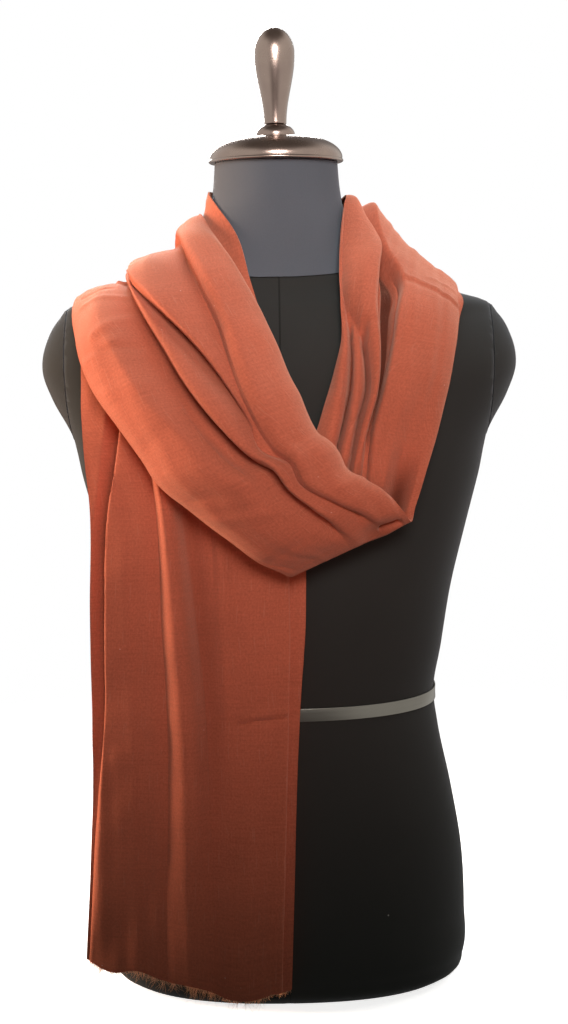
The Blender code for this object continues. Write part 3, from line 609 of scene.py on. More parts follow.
# ---------------------------------------------------------------- shader expressions
class Value:
    """One socket of a shader graph, for use in Python expressions."""

    def __init__(self, graph, socket):
        self.graph, self.socket = graph, socket

    def _math(self, operation, *values):
        return self.graph.add("ShaderNodeMath", {"operation": operation}, values)

    def __add__(self, other):
        return self._math("ADD", self, other)

    def __sub__(self, other):
        return self._math("SUBTRACT", self, other)

    def __rsub__(self, other):
        return self._math("SUBTRACT", other, self)

    def __mul__(self, other):
        return self._math("MULTIPLY", self, other)

    def __truediv__(self, other):
        return self._math("DIVIDE", self, other)

    def __pow__(self, other):
        return self._math("POWER", self, other)

    __radd__ = __add__
    __rmul__ = __mul__

    def sine(self):
        """Sine of the value, in radians."""
        return self._math("SINE", self)

    def size(self):
        """The value without its sign."""
        return self._math("ABSOLUTE", self)

    def above(self, low, high):
        """0 below low, 1 above high and smooth between them."""
        return self.graph.add(
            "ShaderNodeMapRange", {"interpolation_type": "SMOOTHSTEP"},
            {"Value": self, "From Min": low, "From Max": high})


class Graph:
    """The node tree of a new material or world."""

    def __init__(self, name, kind="materials"):
        self.owner = getattr(bpy.data, kind).new(name)
        self.owner.use_nodes = True
        self.tree = self.owner.node_tree

    def add(self, kind, settings=None, inputs=(), output=0):
        """Add a node, set its settings and then its inputs, and return one of its outputs."""
        node = self.tree.nodes.new(kind)
        for key, value in (settings or {}).items():
            setattr(node, key, value)
        pairs = inputs.items() if isinstance(inputs, dict) else enumerate(inputs)
        for key, value in pairs:
            self.put(node.inputs[key], value)
        return Value(self, node.outputs[output])

    def put(self, socket, value):
        """Link a value to a socket, or set the socket to a number or colour."""
        if isinstance(value, Value):
            self.tree.links.new(value.socket, socket)
        elif socket.type == "RGBA" and len(value) == 3:
            socket.default_value = (*value, 1.0)
        else:
            socket.default_value = value

    def surface(self, **inputs):
        """Set inputs of the shader, named with underscores for spaces. Returns the material."""
        shader = self.tree.nodes["Principled BSDF"]
        for name, value in inputs.items():
            self.put(shader.inputs[name.replace("_", " ")], value)
        return self.owner

    def position(self):
        """Place on the object, in metres."""
        return self.add("ShaderNodeTexCoord", output="Object")

    def part(self, place, axis):
        """One part of a place: X, Y or Z."""
        return self.add("ShaderNodeSeparateXYZ", inputs=[place], output=axis)

    def vector(self, x=0.0, y=0.0, z=0.0):
        """Join three numbers or values to a vector."""
        return self.add("ShaderNodeCombineXYZ", inputs=[x, y, z])

    def noise(self, place, scale=1.0, detail=2.0, roughness=0.5):
        """Soft noise from 0 to 1."""
        return self.add("ShaderNodeTexNoise", inputs={
            "Vector": place, "Scale": scale, "Detail": detail, "Roughness": roughness})

    def ribs(self, place, axis, scale):
        """Fine, slightly wavy ribs that follow each other along an axis."""
        return self.add("ShaderNodeTexWave", {"wave_type": "BANDS", "bands_direction": axis}, {
            "Vector": place, "Scale": scale, "Distortion": 1.5, "Detail": 1, "Detail Scale": 2})

    def specks(self, place, scale, size, share):
        """Round specks of a size, as a share of their spacing, at a share of the places."""
        cells = {"Vector": place, "Scale": scale}
        reach = self.add("ShaderNodeTexVoronoi", inputs=cells)
        chance = self.add("ShaderNodeTexVoronoi", inputs=cells, output="Color")
        red = self.add("ShaderNodeSeparateColor", inputs=[chance])
        return (1 - reach.above(size * 0.5, size)) * red.above(1 - share, 1 - share + 0.01)

    def tint(self, factor, first, second):
        """Mix two colours."""
        return self.add(
            "ShaderNodeMix", {"data_type": "RGBA"},
            {0: factor, 6: first, 7: second}, output=2)

    def shade(self, colour, factor):
        """Multiply a colour by a number."""
        grey = self.vector(factor, factor, factor)
        return self.add(
            "ShaderNodeMix", {"data_type": "RGBA", "blend_type": "MULTIPLY"},
            {0: 1.0, 6: colour, 7: grey}, output=2)

    def bump(self, height, distance, strength):
        """Normal of a relief whose height runs from 0 to 1 over a distance in metres."""
        return self.add("ShaderNodeBump", inputs={
            "Strength": strength, "Distance": distance, "Height": height})


def mixed(first, second, share):
    """Mix two plain colours in Python."""
    return [a + (b - a) * share for a, b in zip(first, second)]


def pashmina_material(settings):
    """Fine twill wool with uneven threads, slubs, a light nap, a little lint and painted shade in
    its folds.
    """
    graph = Graph("pashmina wool")
    flat = graph.add("ShaderNodeUVMap", {"uv_map": UV_NAME})
    across, along = graph.part(flat, "X"), graph.part(flat, "Y")
    turn = 2 * math.pi / settings.thread
    twill = (across * turn + along * turn * 0.62).sine() * 0.5 + 0.5
    warp = graph.noise(graph.vector(across / settings.thread, along * 22), detail=1)
    weft = graph.noise(graph.vector(across * 26, along / settings.thread, 7.0), detail=1)
    heather = graph.noise(graph.vector(across * 620, along * 480, 3.0), detail=3, roughness=0.6)
    blotch = graph.noise(graph.position(), scale=14, detail=3)
    slub = graph.noise(graph.vector(across * 700, along * 45, 11.0), detail=0).above(0.70, 0.78)
    bars = graph.noise(graph.vector(across * 40, along * 620, 19.0), detail=1)
    lint = graph.specks(graph.vector(across, along), 75, 0.045, 0.22)
    hollow = graph.add("ShaderNodeAttribute", {"attribute_name": FOLD_SHADE_NAME}, output="Fac")
    tone = (0.32 + warp * 0.20 + weft * 0.20 + heather * 0.74 + bars * 0.22 + (twill - 0.5) * 0.07
            + (blotch - 0.5) * 0.34)
    base = graph.shade(settings.colour[:], tone)
    pale = mixed(settings.colour, (0.85, 0.50, 0.36), 0.45)
    base = graph.tint(slub * 0.10, base, pale)
    base = graph.tint(lint * 0.35, base, (0.86, 0.66, 0.56))
    # painted shade: the wool darkens deep in its folds, as if little light reached them
    base = graph.shade(base, 1 - hollow ** 1.4 * 0.80)
    relief = twill * 0.35 + warp * 0.5 + weft * 0.4 + heather * 0.5 + slub * 0.6 + lint
    return graph.surface(
        Base_Color=base, Roughness=0.72 + heather * 0.2,
        Normal=graph.bump(relief, 0.00035, 0.55),
        Sheen_Weight=0.35, Sheen_Roughness=0.5, Sheen_Tint=(1.0, 0.62, 0.46, 1.0),
        Specular_IOR_Level=0.08)


def fringe_material(settings):
    """Loose yarn ends in a paler copy of the cloth's colour: painted light for thin yarn lit from
    behind.
    """
    graph = Graph("pashmina yarn")
    place = graph.position()
    fibre = graph.noise(place, scale=900, detail=2)
    lock = graph.noise(place, scale=90, detail=1)
    # painted light: paler than the cloth, to stand for light shining through the thin yarn at the
    # dim hem
    base = graph.shade(mixed(settings.colour, (0.90, 0.50, 0.28), 0.60),
                       0.80 + fibre * 0.55 + lock * 0.4)
    return graph.surface(
        Base_Color=base, Roughness=0.85, Normal=graph.bump(fibre, 0.0002, 0.5),
        Sheen_Weight=0.4, Sheen_Roughness=0.5, Sheen_Tint=(1.0, 0.7, 0.55, 1.0),
        Specular_IOR_Level=0.15)


def jersey_material(name, colour, dust, seam):
    """Stretched jersey: fine upright ribs, mottling, specks of dust and a seam in the middle."""
    graph = Graph(name)
    place = graph.position()
    knit = graph.ribs(place, "X", 420) * 0.6 + graph.ribs(place, "Z", 560) * 0.4
    fuzz = graph.noise(place, scale=1300, detail=2)
    mottle = graph.noise(place, scale=9, detail=3)
    lint = graph.specks(place, 60, 0.05, dust)
    beside = (graph.part(place, "X") - FRONT_SEAM_PLACE * MM) * 1000
    joint = (1 - (beside * beside).above(0.2, 0.9)) * seam
    tone = 0.78 + knit * 0.12 + fuzz * 0.2 + (mottle - 0.5) * 0.3 - joint * 0.45
    base = graph.tint(lint * 0.8, graph.shade(colour, tone), (0.45, 0.43, 0.40))
    return graph.surface(
        Base_Color=base, Roughness=0.72 + fuzz * 0.2,
        Normal=graph.bump(knit + fuzz * 0.8 - joint * 2, 0.0002, 0.5),
        Sheen_Weight=0.14, Sheen_Roughness=0.4, Sheen_Tint=(0.75, 0.78, 0.85, 1.0),
        Specular_IOR_Level=0.1)


def polished_material(settings):
    """Bronze-tinted chrome with faint swirls of handling."""
    graph = Graph("bronze chrome")
    place = graph.position()
    cloud = graph.noise(place, scale=45, detail=3)
    fine = graph.noise(place, scale=600, detail=1)
    base = graph.tint(cloud, settings.metal[:], mixed(settings.metal, (0.55, 0.44, 0.36), 0.4))
    return graph.surface(
        Base_Color=base, Metallic=1.0, Roughness=0.20 + cloud * 0.12 + fine * 0.02,
        Normal=graph.bump(cloud + fine * 0.1, 0.00008, 0.4),
        Coat_Weight=0.25, Coat_Roughness=0.06)


def strip_material(settings):
    """Steel strip, brushed along its length and slightly dull."""
    graph = Graph("brushed strip")
    place = graph.position()
    stretch = graph.add("ShaderNodeMapping", inputs={"Vector": place, "Scale": (12, 12, 2600)})
    brush = graph.noise(stretch, scale=1.0, detail=2)
    dull = graph.noise(place, scale=38, detail=2)
    base = graph.shade(settings.strip[:], 0.75 + brush * 0.3 + dull * 0.2)
    return graph.surface(
        Base_Color=base, Metallic=1.0, Roughness=0.2 + brush * 0.16 + dull * 0.1,
        Normal=graph.bump(brush, 0.00005, 0.5))


def floor_material():
    """Pale paint that fades out towards the rim of the floor."""
    graph = Graph("pale floor")
    place = graph.position()
    reach = graph.add("ShaderNodeVectorMath", {"operation": "LENGTH"}, [place], output="Value")
    grain = graph.noise(place, scale=30, detail=2)
    return graph.surface(
        Base_Color=graph.shade((0.93, 0.93, 0.92), 0.97 + grain * 0.03), Roughness=0.9,
        Alpha=1 - reach.above(0.28, 1.1), Specular_IOR_Level=0.0,
        Emission_Color=(1.0, 0.995, 0.99, 1.0), Emission_Strength=0.78)


# ---------------------------------------------------------------- mesh helpers
def bare_scene():
    """Deselect everything and leave edit mode, so that an operator acts on new work alone."""
    if bpy.context.object and bpy.context.object.mode != "OBJECT":
        bpy.ops.object.mode_set(mode="OBJECT")
    bpy.ops.object.select_all(action="DESELECT")


def pick(piece):
    """Select one piece alone."""
    bare_scene()
    piece.select_set(True)
    bpy.context.view_layer.objects.active = piece


def apply_all(piece):
    """Apply every modifier of a piece."""
    pick(piece)
    for modifier in list(piece.modifiers):
        bpy.ops.object.modifier_apply(modifier=modifier.name)


def edit(piece, *actions):
    """Run actions on a piece in edit mode, each with all of it selected."""
    pick(piece)
    bpy.ops.object.mode_set(mode="EDIT")
    for action in actions:
        bpy.ops.mesh.select_all(action="SELECT")
        action()
    bpy.ops.object.mode_set(mode="OBJECT")


def merge_points():
    """Merge the selected points that lie on each other."""
    bpy.ops.mesh.remove_doubles(threshold=MERGE_WITHIN)


def close_holes():
    """Fill every hole of the mesh."""
    bpy.ops.mesh.select_all(action="DESELECT")
    bpy.ops.mesh.select_non_manifold()
    bpy.ops.mesh.fill_holes(sides=0)


def face_out():
    """Turn the selected faces outwards."""
    bpy.ops.mesh.normals_make_consistent(inside=False)


def add_wall(piece, thickness, offset):
    """Give an open piece a wall, centred on it (offset 0) or outside it (offset 1)."""
    wall = piece.modifiers.new("wall", "SOLIDIFY")
    wall.thickness = thickness
    wall.offset = offset
    apply_all(piece)


def read_points(piece, kind="co"):
    """The places or the normals of a piece's points, a row for each."""
    values = np.zeros(len(piece.data.vertices) * 3)
    piece.data.vertices.foreach_get(kind, values)
    return values.reshape(-1, 3)


def place_points(piece, points):
    """Move a piece's points to places in metres."""
    piece.data.vertices.foreach_set("co", points.ravel())
    piece.data.update()


def dress(piece, name, material, slot, *nodes, angle=50):
    """Name a finished piece, shade it, and let it stand for its nodes."""
    piece.name = piece.data.name = name
    piece.data.materials.clear()
    piece.data.materials.append(material)
    piece.data.shade_smooth()
    piece.data.set_sharp_from_angle(angle=math.radians(angle))
    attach(piece, BODY)
    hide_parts(*nodes)


def grid_piece(rows, columns):
    """Add a flat grid and return it with the row and column of each of its points."""
    bare_scene()
    bpy.ops.mesh.primitive_grid_add(x_subdivisions=columns - 1, y_subdivisions=rows - 1)
    piece = bpy.context.object
    flat = read_points(piece)
    column = np.rint((flat[:, 0] + 1) / 2 * (columns - 1)).astype(int)
    row = np.rint((flat[:, 1] + 1) / 2 * (rows - 1)).astype(int)
    return piece, row, column


def lengths_along(points):
    """Distance of each point from the first along its line, for one line or a row of them."""
    steps = np.linalg.norm(np.diff(points, axis=-2), axis=-1)
    start = np.zeros((*steps.shape[:-1], 1))
    return np.concatenate([start, np.cumsum(steps, axis=-1)], axis=-1)


def smooth_table(values, knots, at):
    """Values of a table at places between its knots, with a cubic through them."""
    values, knots, at = (np.asarray(item, float) for item in (values, knots, at))
    slopes = np.gradient(values, knots, axis=0)
    index = np.clip(np.searchsorted(knots, at, side="right") - 1, 0, len(knots) - 2)
    length = knots[index + 1] - knots[index]
    t = (at - knots[index]) / length
    shape = (...,) + (None,) * (values.ndim - 1)
    t, length = t[shape], length[shape]
    return (values[index] * (1 + 2 * t) * (1 - t) ** 2 + values[index + 1] * t * t * (3 - 2 * t)
            + slopes[index] * length * t * (1 - t) ** 2
            - slopes[index + 1] * length * t * t * (1 - t))


def ease(t):
    """Smooth step from 0 to 1."""
    t = np.clip(t, 0, 1)
    return t * t * (3 - 2 * t)


# ---------------------------------------------------------------- dress form
FORM = np.array(FORM_RINGS, float)


def form_sizes(height):
    """Half width, front depth, back depth and roundness of the form at heights in mm."""
    sizes = smooth_table(FORM[:, 1:], FORM[:, 0], np.clip(height, 0, FORM[-1, 0]))
    return tuple(np.moveaxis(sizes, -1, 0))


def form_points(height, turn, grow=0.0):
    """Points in mm on the form at heights and turns in radians from +X."""
    half, front, back, power = form_sizes(height)
    cos, sin = np.cos(turn), np.sin(turn)
    depth = np.where(sin < 0, front, back)
    across = np.sign(cos) * np.abs(cos) ** (2 / power) * (half + grow)
    along = np.sign(sin) * np.abs(sin) ** (2 / power) * (depth + grow)
    return np.stack([across, along, height], axis=-1)


def form_reach(points):
    """How far points in mm lie out of the form: 1 on its surface, more outside."""
    half, front, back, power = form_sizes(points[..., 2])
    depth = np.where(points[..., 1] < 0, front, back)
    return ((np.abs(points[..., 0]) / half) ** power
            + (np.abs(points[..., 1]) / depth) ** power) ** (1 / power)


def clear_form(points, gap):
    """Move points in mm straight out of the form until they lie at least gap from it."""
    step = 0.5
    points = points.copy()
    near = form_reach(points) < LIFT_WITHIN
    moved = points[near]
    for _ in range(LIFT_ROUNDS):
        reach = form_reach(moved)
        slope = np.stack([
            (form_reach(moved + step * axis) - form_reach(moved - step * axis)) / (2 * step)
            for axis in np.eye(3)], axis=-1)
        steep = np.maximum(np.linalg.norm(slope, axis=-1), 1e-4)
        short = np.clip(gap - (reach - 1) / steep, 0, LIFT_MOST)
        moved = moved + slope / steep[..., None] * short[..., None]
    points[near] = moved
    return points


def form_turns(count):
    """Turns round the form, closer together where equal turns would put points far apart."""
    even = np.linspace(0, 2 * math.pi, count)
    return even - TURN_CROWDING * np.sin(4 * even)


def form_blank():
    """Add the whole form as a closed piece, from its flat base to the top of its neck."""
    rows, columns = FORM_NET
    heights = np.linspace(0, FORM[-1, 0], rows)
    heights = heights + NET_CROWDING * np.sin(heights / FORM[-1, 0] * 2 * math.pi)
    turns = form_turns(columns)
    piece, row, column = grid_piece(rows, columns)
    place_points(piece, form_points(heights[row], turns[column]) * MM)
    edit(piece, merge_points, close_holes, face_out)
    return piece


def cut_form(piece, planes):
    """Cut off what lies beyond each (point in mm, normal) plane and close the cut."""
    def cut(point, normal):
        """Cut all that is selected."""
        bpy.ops.mesh.bisect(plane_co=point * MM, plane_no=normal, use_fill=True, clear_outer=True)

    edit(piece, *(partial(cut, point, normal) for point, normal in planes), face_out)


def pull_seam(piece, distance, width, depth):
    """Pull a seam's furrow into a piece. distance gives each point's distance from the seam."""
    points = read_points(piece)
    furrow = depth * np.exp(-(distance(points / MM) / width) ** 2)
    place_points(piece, points - read_points(piece, "normal") * furrow[:, None] * MM)


def form_planes():
    """Planes of the neck seam and of the two armholes: name to (point, normal)."""
    up = np.array([0, -NECK_SEAM_SLOPE, 1]) / math.hypot(NECK_SEAM_SLOPE, 1)
    planes = {"neck": (np.array([0, 0, NECK_SEAM_HEIGHT]), up)}
    rise = ARMHOLE_TOP[1] - ARMHOLE_FOOT[1]
    lean = ARMHOLE_TOP[0] - ARMHOLE_FOOT[0]
    outward = np.array([rise, 0, -lean]) / math.hypot(rise, lean)
    for side, sign in (("right", -1), ("left", 1)):
        mirror = np.array([sign, 1, 1])
        foot = np.array([ARMHOLE_FOOT[0], 0, ARMHOLE_FOOT[1]])
        planes[side] = (foot * mirror, outward * mirror)
    return planes


def beside_plane(plane, side):
    """The plane that leaves half a seam's gap, cutting off what is beyond (1) or before it (-1)."""
    point, normal = plane
    return point - side * normal * (SEAM_GAP / 2), side * normal


def plane_distance(plane):
    """Function that gives the distance of points in mm from a plane."""
    point, normal = plane
    return lambda points: np.abs((points - point) @ normal)


def upright_distance(side, place):
    """Function that gives the distance in mm from an upright seam, in front (-1) or behind (1)."""
    return lambda points: np.where(points[:, 1] * side > 0, np.abs(points[:, 0] - place), 99)


class FORM_OT_body(bpy.types.Operator):
    """Add the torso, its shoulder caps and the neck, in fine jersey"""

    bl_idname = "shawl.form_body"
    bl_label = "Form body"

    def execute(self, context):
        """Cut the pieces from the whole form along their seams."""
        settings = context.scene.form
        black = jersey_material("black jersey", settings.jersey[:], dust=0.06, seam=1.0)
        grey = jersey_material("grey jersey", settings.neck[:], dust=0.03, seam=0.0)
        planes = form_planes()
        torso = form_blank()
        cut_form(torso, [beside_plane(plane, 1) for plane in planes.values()])
        pull_seam(torso, upright_distance(-1, FRONT_SEAM_PLACE), *UPRIGHT_FURROW)
        pull_seam(torso, upright_distance(1, 0), *UPRIGHT_FURROW)
        for plane in planes.values():
            pull_seam(torso, plane_distance(plane), *JOIN_FURROW)
        dress(torso, "torso_jersey", black, "black_jersey", "torso")
        for seam, node, jersey, slot in (
                ("right", "shoulder_cap_right", black, "black_jersey"),
                ("left", "shoulder_cap_left", black, "black_jersey"),
                ("neck", "neck", grey, "grey_jersey")):
            piece = form_blank()
            cut_form(piece, [beside_plane(planes[seam], -1)])
            pull_seam(piece, plane_distance(planes[seam]), *JOIN_FURROW)
            dress(piece, node + "_jersey", jersey, slot, node)
        return {"FINISHED"}


class FORM_OT_band(bpy.types.Operator):
    """Add the steel strip round the waist"""

    bl_idname = "shawl.form_band"
    bl_label = "Waist strip"

    def execute(self, context):
        """Bend a narrow grid round the waist and give it a wall with rounded edges."""
        rows, columns = WAIST_BAND_NET
        piece, row, column = grid_piece(rows, columns)
        heights = np.linspace(-0.5, 0.5, rows) * WAIST_BAND_TALL + WAIST_BAND_MID
        points = form_points(heights[row], form_turns(columns)[column], WAIST_BAND_GAP)
        place_points(piece, points * MM)
        edit(piece, merge_points, face_out)
        add_wall(piece, WAIST_BAND_THICK * MM, 1.0)
        rim = piece.modifiers.new("rim", "BEVEL")
        rim.width = WAIST_BAND_ROUND * MM
        rim.segments = 2
        rim.limit_method = "ANGLE"
        rim.angle_limit = math.radians(60)
        apply_all(piece)
        material = strip_material(context.scene.form)
        dress(piece, "waist_strip", material, "steel_strip", "waist_band")
        return {"FINISHED"}


# ---------------------------------------------------------------- cap and finial
def arc(centre, radius, start, end, count):
    """Points (radius, height) of an arc in the profile's plane, angles in degrees."""
    turns = np.radians(np.linspace(start, end, count))
    return [(centre[0] + radius[0] * math.cos(turn), centre[1] + radius[1] * math.sin(turn))
            for turn in turns]


def turned_piece(profile):
    """Turn a profile of (radius, height) in mm about the vertical axis, listed top to bottom."""
    bare_scene()
    bpy.ops.mesh.primitive_plane_add()
    piece = bpy.context.object
    piece.data.clear_geometry()
    points = [(radius * MM, 0, height * MM) for radius, height in profile]
    piece.data.from_pydata(points, [(i, i + 1) for i in range(len(points) - 1)], [])
    turn = piece.modifiers.new("turn", "SCREW")
    turn.steps = turn.render_steps = TURNED_STEPS
    turn.use_merge_vertices = True
    turn.merge_threshold = MERGE_WITHIN
    apply_all(piece)
    return piece


def node_size(node):
    """Foot, top and half width of a node, in mm."""
    low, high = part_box(node)
    return low.z / MM, high.z / MM, high.x / MM


def cap_profile(foot, top, half):
    """The cap: flat on top, with a domed shoulder and a rolled lip."""
    flat, shoulder, inset, lip, roll, rebate = 12, 24, 0.6, 3.2, 1.3, 5
    dome = arc((shoulder, foot + lip), (half - shoulder - inset, top - foot - lip), 90, 4, 20)
    bead = arc((half - roll, foot + roll), (roll, roll), 70, -90, 9)
    return [(0, top), (flat, top), *dome, *bead, (half - rebate, foot), (0, foot)]


def collar_profile(foot, top, half):
    """The collar: a bulging side with a rounded edge at its foot."""
    belly, edge, start = 2.2, 1.0, 58
    rise = (top - foot - belly) / math.sin(math.radians(start))
    bulge = arc((0, foot + belly), (half, rise), start, 0, 12)
    rim = arc((half - edge, foot + edge), (edge, edge), 0, -90, 5)
    return [(0, top), *bulge, *rim, (0, foot)]


def finial_profile(foot, top, half):
    """The finial: a drop that is widest high up and narrows down to its stem."""
    stem, belly, edge = 9.2, 57, 0.7
    crown = arc((0, foot + belly), (half, top - (foot + belly)), 90, 0, 22)
    sides = [(stem + (half - stem) * (1 - math.cos(math.pi * share)) / 2, foot + belly * share)
             for share in np.linspace(0.96, 0.03, 26)]
    rim = arc((stem - edge, foot + edge), (edge, edge), 0, -90, 4)
    return [*crown, *sides, *rim, (0, foot)]


class FORM_OT_cap(bpy.types.Operator):
    """Add the domed metal cap, its collar and the drop-shaped finial"""

    bl_idname = "shawl.form_cap"
    bl_label = "Cap and finial"

    def execute(self, context):
        """Turn the three profiles to the sizes of the nodes that they stand for."""
        metal = polished_material(context.scene.form)
        for name, node, profile in (
                ("domed_cap", "neck_cap", cap_profile),
                ("finial_bead", "finial_collar", collar_profile),
                ("drop_finial", "finial", finial_profile)):
            piece = turned_piece(profile(*node_size(node)))
            dress(piece, name, metal, "bronze_chrome", node)
        return {"FINISHED"}


# ---------------------------------------------------------------- the shawl's surface
ROW_NAMES, *ROW_PARTS = zip(*SECTIONS)
ROW_A, ROW_MIDDLE, ROW_B, ROW_TUCK = (np.array(part, float) for part in ROW_PARTS)
ROW_RUN = lengths_along(ROW_MIDDLE)


def run_at(name):
    """Distance in mm along the ribbon's middle from the front hem to a named row."""
    return ROW_RUN[ROW_NAMES.index(name)]


def along_rows(values, run):
    """Smooth values of the rows at distances along the ribbon."""
    return smooth_table(values, ROW_RUN, run)


def stations_at(stations, run):
    """Values of a fold's stations at distances along the ribbon, and its fade past the ends."""
    knots = np.array([run_at(name) for name, *_ in stations])
    values = np.array([row for _, *row in stations]) / (100, 100, 100, 1)
    inside = np.clip(run, knots[0], knots[-1])
    keep = ease((run - knots[0]) / FOLD_FADE + 1) * ease((knots[-1] - run) / FOLD_FADE + 1)
    return np.moveaxis(smooth_table(values, knots, inside), -1, 0), keep


def fold_heights(run, across):
    """Height in mm of the folds above the plain ribbon, and their lean towards B in mm."""
    ridge, trough, lean = (np.zeros(across.shape) for _ in range(3))
    for _, (soft_a, soft_b), tilt, stations in FOLDS:
        (place, reach_a, reach_b, height), keep = stations_at(stations, run)
        gap = across - place
        reach = gap / np.where(gap < 0, reach_a, reach_b)
        softness = np.where(gap < 0, soft_a, soft_b)
        bump = height * keep * np.maximum(1 - reach ** 2, 0) ** softness
        ridge += np.maximum(bump, 0) ** FOLD_BLEND
        trough += np.maximum(-bump, 0) ** FOLD_BLEND
        lean += np.maximum(bump, 0) * tilt
    return ridge ** (1 / FOLD_BLEND) - trough ** (1 / FOLD_BLEND), lean


def pleat_shift(run, across):
    """Shift across and height in mm of the knife pleats."""
    shift, height = np.zeros(across.shape), np.zeros(across.shape)
    for _, stations in PLEATS:
        (place, length, lap, rise), keep = stations_at(stations, run)
        reach = (across - place) / length
        inside = np.abs(reach) < 1
        shift -= np.where(inside, lap * keep * np.sin(math.pi * reach), 0)
        height += rise * keep * ease((reach + PLEAT_RAMP) / (2 * PLEAT_RAMP))
    return shift, height


def crease_heights(run, across):
    """Height in mm of the short creases."""
    height = np.zeros(across.shape)
    for name, past, start, end, slant, width, rise in CREASES:
        share = (across * 100 - start) / (end - start)
        line = run_at(name) + past + slant * np.clip(share, 0, 1)
        fade = ease(share * CREASE_FADE + 0.5) * ease((1 - share) * CREASE_FADE + 0.5)
        height += rise * fade * np.exp(-((run - line) / width) ** 2)
    return height


def ripple_heights(run, across):
    """Uneven softness all over the cloth, mostly lengthwise, from -1 to 1."""
    wide = across * RIBBON_WIDTH
    height = np.zeros(across.shape)
    for along, side, bend, phase, size in RIPPLES:
        slow = RIPPLE_BEND * np.sin(run * bend + phase)
        height += size * np.sin(run * along + wide * side + phase + slow)
    return height


def plain_ribbon(run, across):
    """Points in mm of the ribbon before its folds."""
    edge_a, middle, edge_b = (along_rows(rows, run) for rows in (ROW_A, ROW_MIDDLE, ROW_B))
    tuck = along_rows(ROW_TUCK, run)[..., None]
    centre = (edge_a + edge_b) / 2
    share = across[..., None]
    bow = (1 - 2 * share, 1 - (1 - 2 * share) ** 2)
    turn = math.pi * np.clip(share, 0, 1)
    half_ellipse = (np.cos(turn), np.sin(turn))
    sideways = bow[0] + tuck * (half_ellipse[0] - bow[0])
    outward = bow[1] + tuck * (half_ellipse[1] - bow[1])
    return centre + sideways * (edge_a - centre) + outward * (middle - centre)


def ribbon_normal(run, across):
    """Unit normals of the plain ribbon, on the side that faces out on the cowl."""
    step, share = 1.0, 0.01
    inner = np.clip(across, 2 * share, 1 - 2 * share)
    lengthwise = plain_ribbon(run + step, inner) - plain_ribbon(run - step, inner)
    crosswise = plain_ribbon(run, inner + share) - plain_ribbon(run, inner - share)
    normal = np.cross(lengthwise, crosswise)
    return normal / np.linalg.norm(normal, axis=-1, keepdims=True)


def shawl_points(run, across, settings):
    """Points in mm of the shawl's middle surface with its folds, pleats and creases."""
    width = np.linalg.norm(along_rows(ROW_A, run) - along_rows(ROW_B, run), axis=-1)
    folds, lean = fold_heights(run, across)
    shift, pleats = pleat_shift(run, across)
    placed = across + shift + lean / width * np.sin(math.pi * np.clip(across, 0, 1))
    fine = (crease_heights(run, across) * settings.crease
            + ripple_heights(run, across) * settings.ripple / MM)
    turned_over = np.tanh((run - run_at("crease")) / TURN_OVER)
    height = (folds + pleats + fine) * turned_over
    points = plain_ribbon(run, placed) + ribbon_normal(run, placed) * height[..., None]
    return clear_form(points, LIE_GAP + settings.thickness / 2 / MM)


def share_out(path, count):
    """Shares of a path's points, set by its length and turn, for so many columns."""
    spacing, turning, least = COLUMN_STEP
    moves = np.diff(path, axis=0)
    length = np.linalg.norm(moves, axis=1)
    heading = moves / length[:, None]
    turn = np.linalg.norm(np.diff(heading, axis=0), axis=1)
    density = np.full(length.shape, 1 / spacing)
    density[1:] += turn / length[1:] / turning
    effort = np.concatenate([[0], np.cumsum(length * np.minimum(density, 1 / least))])
    return np.interp(np.linspace(0, effort[-1], count), effort, np.linspace(0, 1, len(path)))


def net_places(runs, count, settings):
    """Places across of a net's columns in each row, which drift with the folds."""
    fine = np.linspace(0, 1, PATH_STEPS)
    places = np.array([
        share_out(shawl_points(np.full(fine.shape, run), fine, settings), count)
        for run in runs])
    for _ in range(SMOOTHING_ROUNDS):
        places[1:-1] = (places[:-2] + 2 * places[1:-1] + places[2:]) / 4
    return places


def hem_drop(across):
    """How far in mm the hems dip below a straight cut."""
    return sum(depth * ease(1 - np.abs(across - place) / half)
               for place, half, depth in HEM_DIPS)


def hem_shifts(runs, places):
    """Shifts in mm along the ribbon that give the two hems their dips."""
    to_front = ease(1 - (runs - ROW_RUN[0]) / HEM_REACH)[:, None]
    to_back = ease(1 - (ROW_RUN[-1] - runs) / HEM_REACH)[:, None]
    return (to_back - to_front) * hem_drop(places)


def add_cloth_map(piece, net, runs, row, column):
    """Give a stretch its UV map: u is the length across and v the length along, in metres."""
    across = lengths_along(net)
    across -= across[:, across.shape[1] // 2][:, None]
    place = np.stack([across[row, column], runs[row]], axis=-1) * MM
    corners = np.zeros(len(piece.data.loops), int)
    piece.data.loops.foreach_get("vertex_index", corners)
    layer = piece.data.uv_layers[0]
    layer.name = UV_NAME
    layer.data.foreach_set("uv", place[corners].ravel())


def add_painted_shade(piece, runs, places, row, column):
    """Store how deep each point lies in a fold, for the painted shade that darkens the wool there.
    """
    folds, _ = fold_heights(np.broadcast_to(runs[:, None], places.shape), places)
    layer = piece.data.attributes.new(FOLD_SHADE_NAME, "FLOAT", "POINT")
    layer.data.foreach_set("value", np.clip(-folds / DEEPEST, 0, 1)[row, column])


def stretch_piece(first, last, rows, columns, settings):
    """Add one stretch of the shawl as a closed thin wall, and return it with its flat size."""
    runs = np.linspace(run_at(first), run_at(last), rows)
    places = net_places(runs, columns, settings)
    net = shawl_points(runs[:, None] + hem_shifts(runs, places), places, settings)
    piece, row, column = grid_piece(rows, columns)
    place_points(piece, net[row, column] * MM)
    add_cloth_map(piece, net, runs, row, column)
    add_painted_shade(piece, runs, places, row, column)
    across = lengths_along(net)[:, -1].mean()
    along = lengths_along(net.swapaxes(0, 1))[:, -1].mean()
    add_wall(piece, settings.thickness, 0.0)
    return piece, (across * MM, along * MM)


